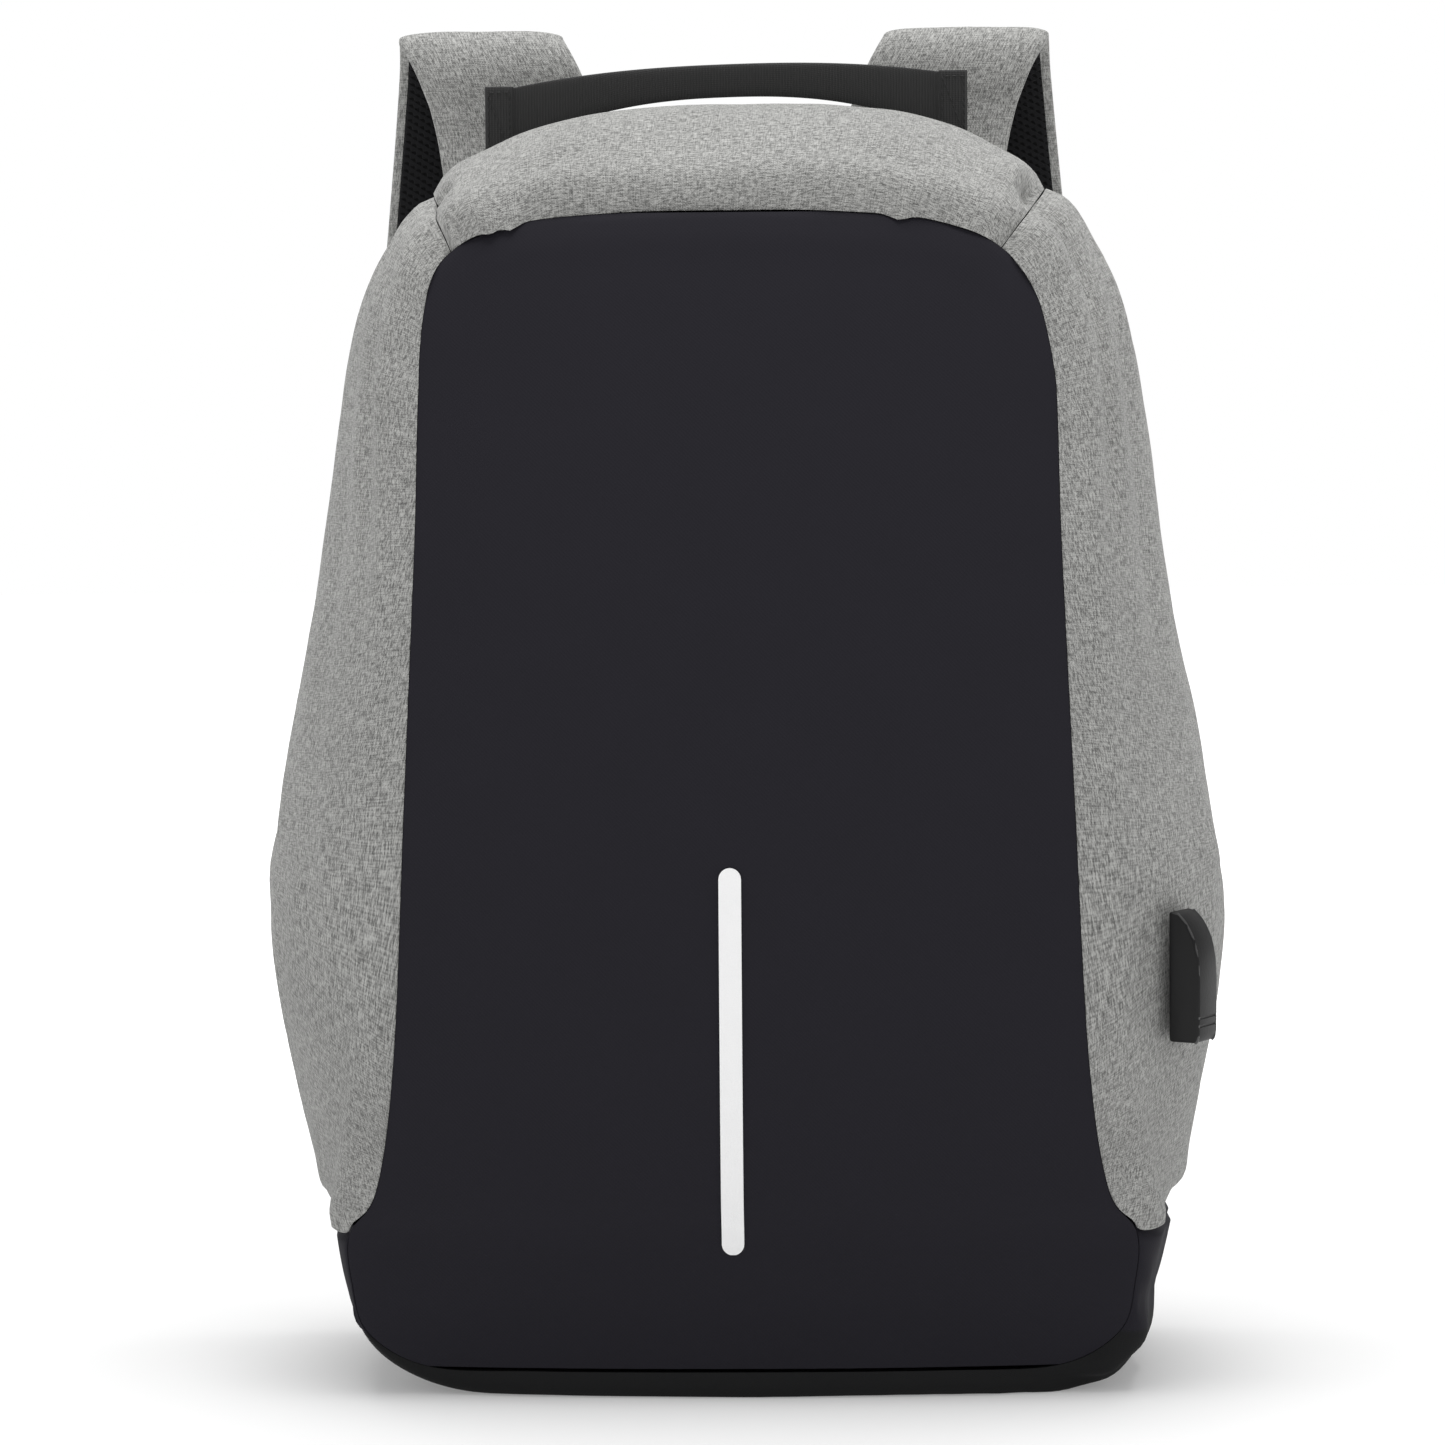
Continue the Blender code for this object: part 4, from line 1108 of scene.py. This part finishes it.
def shoulder_strap(name, side):
    """Padded strap: heather outside, mesh towards the wearer, a row of stitches along each edge."""
    body = f"{name}_strap"
    path = strap_path(side)
    out = np.cross(RIGHT, directions(path))
    run = distance_along(path)
    low_end = np.clip((run[-1] - run) / 0.030, 0, 1) ** 0.5
    wide = STRAP_WIDE / 2 * (0.62 + 0.38 * low_end)
    soft = 1 + 0.10 * ripple(run[:, None], np.zeros((len(run), 1)), (0.030, 1), 4.4 * side)[:, 0]
    bend = fade(run - 0.045, 0.022)

    def padded_section(ring, i):
        ring = ring.copy()
        shape = 1 - 0.20 * np.abs(ring[:, 0] / wide[i]) ** 6
        ring[:, 1] *= shape * soft[i]
        crease = 0.00012 * bend[i] * np.sin(ring[:, 0] / wide[i] * 7 + 2 * side)
        ring[:, 1] += crease
        return ring

    halves = [(w, PAD_THICK / 2) for w in wide]
    pad = swept(f"{name}_pad_shell", path, RIGHT, halves, 44, 4.2, padded_section)
    dress(smooth(pad, 70), f"{name}_shoulder_pad", GREY, body, "heather_fabric",
          f"{name}_strap_pad")
    inner = PAD_THICK / 2 + 0.0003 + MESH_THICK / 2
    inside = path - out * inner
    start = 5

    def lining_section(ring, _):
        ring = ring.copy()
        ring[:, 1] *= 1 - 0.45 * np.abs(ring[:, 0] / ring[:, 0].max()) ** 4
        return ring

    lining = swept(f"{name}_lining_shell", inside[start:], RIGHT,
                   [(w - 0.0035, MESH_THICK / 2) for w in wide[start:]], 40, 3.2, lining_section)
    dress(smooth(lining, 70), f"{name}_pad_lining", MESH, body, "spacer_mesh", f"{name}_strap_mesh")
    lines = []
    for edge in (-1, 1):
        over = RIGHT * (edge * (wide - SEAM_IN))[:, None]
        rim = path + over + out * (PAD_THICK * 0.5 * 0.83 * soft)[:, None]
        lines.append(list(zip(rim[30:-3], out[30:-3])))
    stitches(f"{name}_pad_stitches", lines, GREY_THREAD, body, PAD_STITCH)
    strap_webbing(name, side, body, path)


def strap_webbing(name, side, body, path):
    """The adjuster: a short band to the ladder lock, a long band to the base, and its free tail."""
    end = path[-1]
    anchor = np.array((side * 0.118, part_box("back_board")[1].y + 0.009, 0.0835))
    down = (anchor - end) / np.linalg.norm(anchor - end)
    half, thick = 0.0125, 0.0008
    centre = end + down * 0.0245
    lock_out = np.cross(RIGHT, down)
    lock_out /= np.linalg.norm(lock_out)

    def band(piece, points, node, count=40, thickness=thick):
        line = along_curve(points, count)
        made = swept(piece, line, RIGHT, (half, thickness), 20, 5.0)
        smooth(made, 60)
        return dress(made, piece, BAND, body, "webbing", *node)

    # Round the upper bar and back on itself.
    bar = centre - down * 0.0098
    band(f"{name}_short_band", [end - down * 0.010, end + down * 0.004, bar - lock_out * 0.0028,
                                bar + down * 0.0030 - lock_out * 0.0012,
                                bar + down * 0.0030 + lock_out * 0.0012,
                                bar + lock_out * 0.0028, end + down * 0.004 + lock_out * 0.0018,
                                end - down * 0.008 + lock_out * 0.0012],
         [f"{name}_upper_webbing"], 60, 0.0006)
    low_bar = centre + down * 0.0098
    band(f"{name}_long_band", [low_bar - down * 0.014 - lock_out * 0.003,
                               low_bar - lock_out * 0.0030, end + down * 0.0372,
                               end + (anchor - end) * 0.65, anchor],
         [f"{name}_lower_webbing"], 70)
    tail = [low_bar - down * 0.012 + BACK * 0.0052, end + down * 0.034 + BACK * 0.0075,
            end + down * 0.060 + BACK * 0.0088, end + down * 0.090 + BACK * 0.0092,
            end + down * 0.1165 + BACK * 0.0098]
    band(f"{name}_free_tail", tail, [f"{name}_webbing_tail"], 50)
    hem = tail[-1] - down * 0.004
    stitches(f"{name}_tail_stitches",
             [[(hem + RIGHT * x + BACK * 0.0008, BACK) for x in (-0.0105, 0.0105)],
              [(hem - down * 0.004 + RIGHT * x + BACK * 0.0008, BACK) for x in (-0.0105, 0.0105)]],
             DARK_THREAD, body, TAIL_STITCH)
    ladder_lock(name, centre, down, lock_out, RIGHT, body)


def ladder_lock(name, centre, down, out, across, body):
    """A moulded three-bar adjuster, its frame a little thicker than its bars."""
    pieces = []
    frame_half, tall = 0.0165, 0.0120
    turn = Matrix((across, down, out)).transposed().to_euler()

    def bar(size, place, radius):
        steps = zip((across, down, out), place)
        at = sum((Vector(axis) * step for axis, step in steps), Vector(centre))
        pieces.append(rounded_block(size, at, radius, 3, turn))

    for edge in (-1, 1):
        bar((0.0034, 2 * tall, 0.0040), (edge * (frame_half - 0.0017), 0, 0), 0.0014)
    bar((2 * frame_half - 0.002, 0.0040, 0.0036), (0, -tall + 0.0018, 0.0), 0.0013)
    bar((2 * frame_half - 0.002, 0.0042, 0.0030), (0, -0.0002, 0.0003), 0.0011)
    bar((2 * frame_half - 0.002, 0.0046, 0.0034), (0, tall - 0.0022, 0.0006), 0.0013)
    lock = joined(f"{name}_adjuster", pieces)
    dress(smooth(lock, 40), f"{name}_adjuster", PLASTIC, body, "black_plastic",
          f"{name}_ladder_lock")


def strap_root(name, side):
    """The strap's sewn root: it runs up the back panel and turns into the strap."""
    low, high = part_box(f"{name}_strap_anchor")
    x = (low.x + high.x) / 2
    pad_start = strap_path(side)[4]
    middle = (low.y + high.y) / 2
    route = [(x - side * 0.008, middle, low.z), (x - side * 0.006, middle, 0.400),
             (x - side * 0.003, middle + 0.0006, 0.420), (x - side * 0.0005, 0.0738, 0.434),
             tuple(pad_start)]
    count = 46
    path = along_curve(route, count)
    thick = np.linspace(0.0024, 0.0033, count)
    thick[:4] *= (0.45, 0.75, 0.9, 0.97)

    def section(ring, _):
        ring = ring.copy()
        ring[:, 1] *= 1 - 0.3 * np.abs(ring[:, 0] / (STRAP_WIDE / 2)) ** 4
        return ring

    root = swept(f"{name}_root_shell", path, RIGHT, [(STRAP_WIDE / 2 - 0.0004, t) for t in thick],
                 40, 3.2, section)
    dress(smooth(root, 70), f"{name}_strap_root", GREY, None, "heather_fabric",
          f"{name}_strap_anchor")
    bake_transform(root)
    corners = [(-0.025, low.z + 0.004), (0.025, low.z + 0.004), (0.025, low.z + 0.016),
               (-0.025, low.z + 0.016), (-0.025, low.z + 0.004), (0.025, low.z + 0.016)]
    face = middle + 0.0024
    line = [((x - side * 0.0075 + dx, face, z), (0, 1, 0)) for dx, z in corners]
    stitches(f"{name}_root_stitches", [line], GREY_THREAD, "back_panel")


def lower_anchor(name, side):
    """The webbing triangle sewn low on the back, and the loop that hands over to the long band."""
    low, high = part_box(f"{name}_lower_anchor")
    y, x = (low.y + high.y) / 2, side * 0.118
    z = np.linspace(low.z, high.z, 20)
    share = (z - low.z) / (high.z - low.z)
    path = np.stack([x + 0 * z, y + 0 * z, z], axis=1)
    halves = [(0.0180 - 0.0054 * s, 0.0017) for s in share]
    tab = swept(f"{name}_tab_shell", path, RIGHT, halves, 28, 6.0)
    dress(smooth(tab, 60), f"{name}_base_tab", BAND, "back_panel", "webbing",
          f"{name}_lower_anchor")
    route = [(x, y, 0.0745), (x, y + 0.0004, 0.0800), (x, 0.0735, 0.0828), (x, 0.0748, 0.0865)]
    loop = swept(f"{name}_loop_shell", along_curve(route, 24), RIGHT, (0.0123, 0.0009), 20, 5.0)
    dress(smooth(loop, 60), f"{name}_base_loop", BAND, None, "webbing")
    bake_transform(loop)
    face = y + 0.0017
    line = [((x + dx, face, z), (0, 1, 0)) for dx, z in (
        (-0.013, 0.0645), (0.013, 0.0645), (0.0105, 0.0760), (-0.0105, 0.0760), (-0.013, 0.0645),
        (0.0105, 0.0760))]
    stitches(f"{name}_tab_stitches", [line], DARK_THREAD, "back_panel", TAB_STITCH)


# ---------------------------------------------------------------- back panel and zip

BOARD_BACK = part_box("back_board")[1].y


def back_rows(first, last, step=CLOTH_STEP):
    rows = even_rows(BACK_SEAM, first, last, step)
    return np.array([seam_point(BACK_SEAM, row) for row in rows])


def back_cover():
    """The stiff back: cloth over a board, softly rounded to its piped edge."""
    edge = back_rows(TIP_ROW + 0.1, TOP_ROW - 0.35)
    sides = np.linspace(1, -1, 90)
    grid = np.empty((len(edge), len(sides), 3))
    grid[..., 0] = edge[:, :1] * sides
    grid[..., 1] = BOARD_BACK - 0.0002
    grid[..., 2] = edge[:, 2:]
    track = np.array([(s * x, BOARD_BACK - 0.0002, z) for s in (-1, 1) for x, _, z in edge])
    away = nearest(grid, track)
    away = np.minimum(away, grid[..., 2] - edge[0, 2])
    grid[..., 1] -= 0.0016 * fade(away, 0.0035)
    grid[..., 1] -= 0.0003 * (ripple(grid[..., 2], grid[..., 0], (0.05, 0.04), 2.2) + 0.5)
    cover = cloth_mesh("back_cover_shell", grid, 0.0034, lined=True)
    dress(smooth(cover, 70), "back_cover", LINING, "back_panel", "lining", "back_board",
          inside=LINING)
    outline = np.concatenate([edge * (1, 0, 1), (edge * (-1, 0, 1))[::-1]])
    outline = outline + (0, BOARD_BACK - 0.0012, 0)
    inward = outline * (0.9935, 1, 1) - (0, 0, 0.0009)
    side = np.cross(directions(inward), BACK)
    piping = swept("piping_shell", inward, side, (0.0013, 0.0013), 10, 2.0)
    dress(smooth(piping, 80), "back_piping", BAND, "back_panel", "webbing")


PUFF_PRESSURE, PUFF_STEPS, PUFF_MOST = 4, 20, 0.0022  # the last is how far the cloth may move


def back_pad(name, node):
    """A padded block under mesh, swollen between its sewn edges."""
    low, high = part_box(node)
    size = high - low
    centre = (low + high) / 2
    pad = rounded_block((size.x - 0.003, size.y - 0.0035, size.z - 0.003), centre, 0.0034, 3)
    pad.name = f"{name}_core"
    remesh = pad.modifiers.new("even", "REMESH")
    remesh.mode, remesh.voxel_size = "VOXEL", 0.0045 if size.x < 0.12 else 0.005
    apply_modifiers(pad)
    before = places_of(pad)
    puff = pad.modifiers.new("puff", "CLOTH")
    puff.settings.use_pressure = True
    puff.settings.uniform_pressure_force = PUFF_PRESSURE
    puff.settings.effector_weights.gravity = 0
    scene = bpy.context.scene
    for step in range(1, PUFF_STEPS + 1):
        scene.frame_set(step)
    apply_modifiers(pad)
    scene.frame_set(1)
    after = places_of(pad)
    moved = after - before
    far = np.linalg.norm(moved, axis=1, keepdims=True)
    after = before + moved * np.minimum(1, PUFF_MOST / np.maximum(far, TINY))
    after[:, 1] = np.maximum(after[:, 1], low.y)
    # Sewn channels across the pad, and a crown between them.
    across = (after[:, 0] - centre.x) / (size.x / 2)
    up = (after[:, 2] - centre.z) / (size.z / 2)
    crown = np.clip(1 - across**4, 0, 1) * np.clip(1 - up**4, 0, 1)
    at_back = np.clip((after[:, 1] - centre.y) / (size.y / 2), 0, 1)
    spacing = size.z / 3 if size.z > 0.12 else size.z / 2
    groove = sum(fade(after[:, 2] - (low.z + spacing * k), 0.0040)
                 for k in range(1, int(size.z / spacing + 0.5)))
    after[:, 1] += at_back * (0.0016 * crown - 0.0036 * groove * (1 - np.abs(across) ** 6))
    move_points(pad, after)
    finer = pad.modifiers.new("finer", "SUBSURF")
    finer.levels = finer.render_levels = 1
    apply_modifiers(pad)
    dress(smooth(pad, 80), f"{name}_cushion", BACK_MESH, "back_panel", "spacer_mesh", node)
    rim = []
    half_x, half_z = size.x / 2 + 0.0006, size.z / 2 + 0.0006
    for s in np.linspace(0, 2 * math.pi, 90):
        cos, sin = math.cos(s), math.sin(s)
        rim.append((centre.x + half_x * math.copysign(abs(cos) ** 0.25, cos), BOARD_BACK + 0.0010,
                    centre.z + half_z * math.copysign(abs(sin) ** 0.25, sin)))
    rim = np.array(rim)
    side = np.cross(directions(rim), BACK)
    cord = swept(f"{name}_rim_shell", rim, side, (0.0011, 0.0011), 8, 2.0)
    dress(smooth(cord, 80), f"{name}_rim", BAND, "back_panel", "webbing")


TOOTH, TOOTH_PITCH = (0.0030, 0.0016, 0.0016), 0.0026


def zip_half(name, node, body, toward):
    """One side of the zip: its tape and its row of moulded teeth."""
    low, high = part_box(node)
    half = even_rows(BACK_SEAM, TIP_ROW + (0.1 if toward > 0 else -0.12), TOP_ROW, 0.004)
    rows = [*half, *-half[-2::-1]]
    seam = np.array([seam_point(BACK_SEAM, row) for row in rows])
    ys = np.linspace(low.y, high.y, 7)
    grid = np.stack([seam + (0, y - BACK_Y, 0) for y in ys], axis=1)
    tape = cloth_mesh(f"{name}_tape_shell", grid, 0.0011)
    dress(smooth(tape, 70), f"{name}_tape", ZIP_CLOTH, body, "zip_tape", node)
    outs = facings(grid)[:, 3]
    middle = (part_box("zip_tape_shell_side")[1].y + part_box("zip_tape_panel_side")[0].y) / 2
    line = [((p[0], middle - toward * 0.0009, p[2]), out) for p, out in zip(seam, outs)]
    if toward < 0:
        # The other row sits half a pitch further on.
        start = np.array(line[1][0]) * 0.675 + np.array(line[2][0]) * 0.325
        line = [(start, line[1][1]), *line[2:]]
    teeth = beads(f"{name}_teeth", [line], TOOTH, TOOTH_PITCH, 0.0004)
    dress(teeth, f"{name}_teeth", PLASTIC, body, "black_plastic")


def zip_slider(name, side):
    """A slider: two rounded plates on a post, a bridge for the pull, and a shaped pull tab."""
    low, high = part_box(f"{name}_zip_slider")
    centre = (low + high) / 2
    size = high - low
    plates = (  # each part's size, its place from the middle, and its rounding
        ((0.0011, size.y, size.z), (size.x / 2 - 0.00055, 0), 0.0005),
        ((0.0018, 0.0024, size.z * 0.5), (0, size.z * 0.2), 0.0004),
        ((0.0009, size.y * 0.9, size.z * 0.92), (0.0006 - size.x / 2, 0), 0.0004),
        ((0.0014, 0.0016, size.z * 0.62), (size.x / 2 + 0.0002, 0.0006), 0.0006),
    )
    pieces = [rounded_block(block, (centre.x + side * out, centre.y, centre.z + up), radius)
              for block, (out, up), radius in plates]
    body = joined(f"{name}_slider_shell", pieces)
    dress(smooth(body, 40), f"{name}_slider_body", DARK_METAL, f"{name}_slider", "black_metal",
          f"{name}_zip_slider")
    low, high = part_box(f"{name}_zip_pull")
    x, y = (low.x + high.x) / 2, (low.y + high.y) / 2
    z = np.linspace(high.z, low.z, 40)
    share = (high.z - z) / (high.z - low.z)
    swelling = 0.0014 * np.sin(np.minimum(1, share * 1.15) * math.pi / 2)
    tapered = 0.0012 * np.maximum(0, share - 0.93) / 0.07
    halves = np.stack([0.0021 + swelling - tapered, 0.0007 + 0.0003 * np.sin(share * math.pi)],
                      axis=1)
    path = np.stack([x + 0 * z - side * 0.0003 * np.cos(share * 3), y + 0 * z, z], axis=1)
    pull = swept(f"{name}_pull_shell", path, BACK, halves, 24, 4.0)
    cut(pull, rounded_block((0.006, 0.0022, 0.0030), (x, y, high.z - 0.0052), 0.0008))
    ribs = [rounded_block((0.0005, 0.0046, 0.0009), (x + side * 0.0009, y, z), 0.0002, 2)
            for z in np.linspace(low.z + 0.004, low.z + 0.0165, 6)]
    pull = joined(f"{name}_pull_tab", [pull, *ribs])
    dress(smooth(pull, 40), f"{name}_pull_tab", PLASTIC, f"{name}_pull", "black_plastic",
          f"{name}_zip_pull")


def base_back():
    """The low wall behind the base, piped along its top, and the cloth hinge of the back panel."""
    node = "base_back_wall"
    low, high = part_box(node)
    track = np.array([seam_point(BACK_SEAM, row) for row in np.linspace(0.0, TIP_ROW, 200)])
    levels = np.linspace(low.z, high.z, 26)
    rising = track[track[:, 2] > low.z + 0.0002]
    halves = np.interp(levels, rising[:, 2], rising[:, 0]) - 0.0008
    sides = np.linspace(1, -1, 90)
    grid = np.empty((len(levels), len(sides), 3))
    grid[..., 0] = halves[:, None] * sides
    grid[..., 1] = high.y - 0.0003
    grid[..., 2] = levels[:, None]
    away = np.minimum(halves[:, None] - np.abs(grid[..., 0]), high.z - grid[..., 2])
    away = np.minimum(away, grid[..., 2] - low.z)
    grid[..., 1] -= 0.0009 * fade(away, 0.0030)
    grid[..., 1] -= 0.0004 * (ripple(grid[..., 0], grid[..., 2], (0.030, 0.020), 6.1) + 0.5)
    wall = cloth_mesh("base_back_shell", grid, high.y - low.y - 0.0010, lined=True)
    dress(smooth(wall, 70), "base_back_cloth", BASE, "shell", "base_fabric", node, inside=LINING)
    half = halves[-1] - 0.001
    rim = np.array([(x, high.y - 0.0004, high.z - 0.0006) for x in np.linspace(half, -half, 60)])
    cord = swept("base_rim_shell", rim, BACK, (0.0011, 0.0011), 10, 2.0)
    dress(smooth(cord, 80), "base_rim", BAND, "shell", "webbing")
    hinge_z = next(j for j in frame["joints"] if j["name"] == "back_panel_hinge")["pos_m"][2]
    xs = np.linspace(0.1285, -0.1285, 80)
    zs = np.linspace(hinge_z - 0.0035, hinge_z + 0.0085, 22)
    x, z = np.meshgrid(xs, zs)
    strip = np.stack([x, BOARD_BACK + 0.0011 + 0.0002 * ripple(x, z, (0.02, 0.01), 4.0), z], axis=2)
    flap = cloth_mesh("hinge_cloth_shell", strip, 0.0009)
    dress(smooth(flap, 70), "hinge_cloth", LINING, None, "lining")
    hinge_z - 0.0012
    hinge_z + 0.0030
    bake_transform(flap)
    line = [((x, BOARD_BACK + 0.0012, hinge_z + 0.0068), (0, 1, 0)) for x in (0.127, -0.127)]
    stitches("hinge_stitches", [line], DARK_THREAD, "back_panel", HINGE_STITCH)


# ---------------------------------------------------------------- inside

POCKET_CLOTH = 0.0013  # thickness
BINDING = (0.0060, 0.0010)  # half its width and half its thickness


def lower(obj, drop):
    """Moves a finished piece's points straight down."""
    places = places_of(obj)
    places[:, 2] -= drop
    move_points(obj, places)


def soft_pocket(name, node, body, seed):
    """A pocket of lining cloth, open at the top, with a bound mouth."""
    low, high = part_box(node)
    centre, size = (low + high) / 2, high - low
    around, rows = 120, 40
    turn = np.linspace(0, 2 * math.pi, around, endpoint=False)
    rings = []
    for share in np.linspace(0, 1, rows):
        z = low.z + share * (high.z - low.z - 0.0010)
        corner = 1 - 0.10 * (1 - min(1, share / 0.05)) ** 2
        half_x, half_y = size.x / 2 * corner, size.y / 2 * corner
        x = half_x * np.sign(np.cos(turn)) * np.abs(np.cos(turn)) ** 0.30
        y = half_y * np.sign(np.sin(turn)) * np.abs(np.sin(turn)) ** 0.30
        slack = 0.5 + 0.5 * ripple(x, z + 0 * x, (size.x / 3, size.z / 3), seed)
        y *= 1 - (0.02 + 0.05 * slack) * math.sin(share * math.pi)
        rings.append(np.stack([centre.x + x, centre.y + y, z + 0 * x], axis=1))
    floor = [centre_ring(rings[0], share) for share in (0.06, 0.35, 0.7)]
    pocket = ring_mesh(f"{name}_shell", np.array([*floor, *rings]), open_end=True)
    thick = pocket.modifiers.new("wall", "SOLIDIFY")
    thick.thickness, thick.offset = POCKET_CLOTH, -1.0
    apply_modifiers(pocket)
    dress(smooth(pocket, 70), name, INNER_LINING, body, "lining", node)
    mouth = np.concatenate([rings[-1], rings[-1][:1]])
    mouth[:, 2] = high.z - 0.0012
    inward = mouth - (mouth - np.array(centre)) * (0.004, 0.02, 0)
    band = swept(f"{name}_mouth_shell", inward, UP, BINDING, 12, 4.0)
    lower(band, 0.0058)
    dress(smooth(band, 60), f"{name}_mouth", BAND, body, "webbing")


def centre_ring(ring, share):
    """A ring drawn in towards its middle, for a pocket's floor."""
    middle = ring.mean(axis=0)
    return middle + (ring - middle) * (share, share, 1.0)


def laptop_strap():
    """A short strap with a hook patch, from the board over the sleeve's mouth."""
    low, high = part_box("laptop_strap")
    front = low.y + 0.0009
    route = [(0, high.y - 0.0008, high.z - 0.0006), (0, high.y - 0.0048, high.z - 0.0050),
             (0, front + 0.0035, high.z - 0.0160), (0, front, high.z - 0.0262),
             (0, front, low.z + 0.0004)]
    strap = swept("laptop_strap_shell", along_curve(route, 60), RIGHT, (0.0123, 0.0007), 20, 5.0)
    dress(smooth(strap, 60), "laptop_strap_band", BAND, "laptop_strap", "webbing", "laptop_strap")
    patch = rounded_block((0.0200, 0.0008, 0.0200), (0, front + 0.0010, low.z + 0.012), 0.0003, 2)
    dress(smooth(patch, 40), "laptop_strap_hooks", HOOKS, "laptop_strap", "webbing")
    lines = [[((x, front - 0.0006, z), (0, -1, 0)) for x, z in (
        (-0.010, low.z + 0.003), (0.010, low.z + 0.003), (0.010, low.z + 0.021),
        (-0.010, low.z + 0.021), (-0.010, low.z + 0.003))]]
    stitches("laptop_strap_stitches", lines, DARK_THREAD, "laptop_strap", HOOK_STITCH)


def behind_panel(name, node, first, last, inset, thickness, finish, slot):
    """A layer that follows the front panel on its inner side."""
    grid = panel_grid(first, last, 70, inset, 0.0)
    grid[..., 1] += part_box(node)[0].y - grid[..., 1].min() + 0.0001
    layer = cloth_mesh(f"{name}_shell", grid, thickness)
    rounded(layer, thickness * 0.3, 2)
    dress(smooth(layer, 60), name, finish, "shell", slot, node)
    return layer, grid


def front_lining():
    """The foam board behind the panel, and the organiser pocket sewn over it."""
    board, _ = behind_panel("front_board", "front_foam_board", 6.4, 12.6, 0.0125,
                            BOARD_FOAM, FOAM, "foam")
    pocket, grid = behind_panel("organiser", "organiser_pocket", 6.6, 8.8, 0.0285, 0.0012,
                                LINING, "lining")
    back = grid + (0, 0.0013, 0)
    tracks = [back[-3]] + [back[::3, column] for column in (17, 35, 52)]
    rows = [[(place, BACK) for place in track] for track in tracks]
    stitches("organiser_stitches", rows, GREY_THREAD, "shell", POCKET_STITCH)
    edge = np.array(grid[-1]) + (0, 0.0006, 0)
    band = swept("organiser_edge_shell", edge, UP, (0.0050, 0.0010), 12, 4.0)
    lower(band, 0.0049)
    dress(smooth(band, 60), "organiser_edge", BAND, "shell", "webbing")
    low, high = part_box("base_board")
    gap = Vector((0.0004, 0.0004, 0.0004))
    floor = rounded_block(high - low - gap, (low + high) / 2, 0.0008, 3)
    dress(smooth(floor, 50), "floor_board", FOAM, "shell", "foam", "base_board")


# ---------------------------------------------------------------- charging outlet

OUTLET_ROW, OUTLET_SHARE, OUTLET_Z = 7.0, 0.205, 0.1435  # where it sits on the right side's cloth
OUTLET_TURN = math.radians(-29)

def usb_outlet():
    """The moulded outlet on the right side, with the parts that keep it in the cloth."""
    proud, deep, tall, start = 0.0115, 0.0148, 0.0445, 0.0020
    half = tall / 2
    seat = skin_grid([OUTLET_ROW], [OUTLET_SHARE])[0, 0]
    place = Matrix.Translation((seat[0], seat[1], OUTLET_Z))
    place = place @ Matrix.Rotation(OUTLET_TURN, 4, "Z")
    profile = [(0, -half), (proud - 0.0012, -half), (proud - 0.0002, -half + 0.0030),
               (proud, -0.002),
               (proud - 0.0004, 0.006), (proud - 0.0018, 0.0125), (proud - 0.0046, 0.0180),
               (proud - 0.0080, half - 0.0006), (0, half)]
    count = len(profile)
    points = [(start + x, y, z) for y in (-deep / 2, deep / 2) for x, z in profile]
    faces = [tuple(range(count)), tuple(range(2 * count - 1, count - 1, -1))]
    faces += [((i + 1) % count, i, i + count, (i + 1) % count + count) for i in range(count)]
    mesh = bpy.data.meshes.new("outlet")
    mesh.from_pydata(points, [], faces)
    shell = linked("outlet", mesh)
    recalculate(shell)
    rounded(shell, 0.0011, 3, sharper_than=34)
    middle = start + proud / 2
    cutters = [rounded_block((0.0054, 0.0124, 0.016), (middle, 0, -half + 0.006), 0.0006, 2)]
    groove, face = (0.0012, deep + 0.01, 0.0009), start + proud + 0.0001
    cutters += [rounded_block(groove, (face, 0, z), 0.0002, 2)
                for z in (-half + 0.0058, -half + 0.0086)]
    for cutter in cutters:
        cut(shell, cutter)
    shell.data.transform(place)
    dress(smooth(shell, 35), "usb_outlet", HOUSING, "shell", "black_plastic", "usb_housing")
    # A fine bead follows the outer face's front and back edges; its lighter colour is a painted
    # highlight along those rounded edges.
    beading = []
    run = [(start + x, z) for x, z in profile[1:-1]]
    for edge in (-1, 1):
        line = along_curve([(x - 0.0007, edge * (deep / 2 - 0.0009), z) for x, z in run], 60)
        side = np.cross(directions(line), BACK)
        beading.append(swept("bead", line, side, (0.00055, 0.00055), 10, 2.0))
    bead = joined("usb_bead", beading)
    bead.data.transform(place)
    dress(smooth(bead, 60), "usb_edge_highlight_beads", BEAD_PAINTED_HIGHLIGHT, "shell", "black_plastic")
    for node, finish in (("usb_socket_shell", STEEL), ("usb_tongue", SOCKET),
                         ("usb_back_plate", PLASTIC), ("usb_upper_screw", STEEL),
                         ("usb_lower_screw", STEEL), ("usb_lead", JACKET), ("usb_plug", PLASTIC)):
        for slot in frame["nodes"][node].material_slots:
            slot.material = finish.made


# ---------------------------------------------------------------- making it all

add_camera()
add_studio()
panel = front_panel()
reflective_strip(panel)
for side in (-1, 1):
    side_wall(side)
top_wall()
base_wall()
carry_handle()
back_cover()
for place in ("left_back", "right_back", "lumbar"):
    back_pad(place, f"{place}_pad")
zip_half("shell_zip", "zip_tape_shell_side", "shell", -1)
zip_half("panel_zip", "zip_tape_panel_side", "back_panel", 1)
base_back()
soft_pocket("sleeve", "laptop_sleeve", "back_panel", 2.0)
soft_pocket("charger_pocket", "power_bank_pocket", "shell", 7.0)
laptop_strap()
front_lining()
usb_outlet()
for name, side in (("left", -1), ("right", 1)):
    shoulder_strap(name, side)
    strap_root(name, side)
    lower_anchor(name, side)
    zip_slider(name, side)
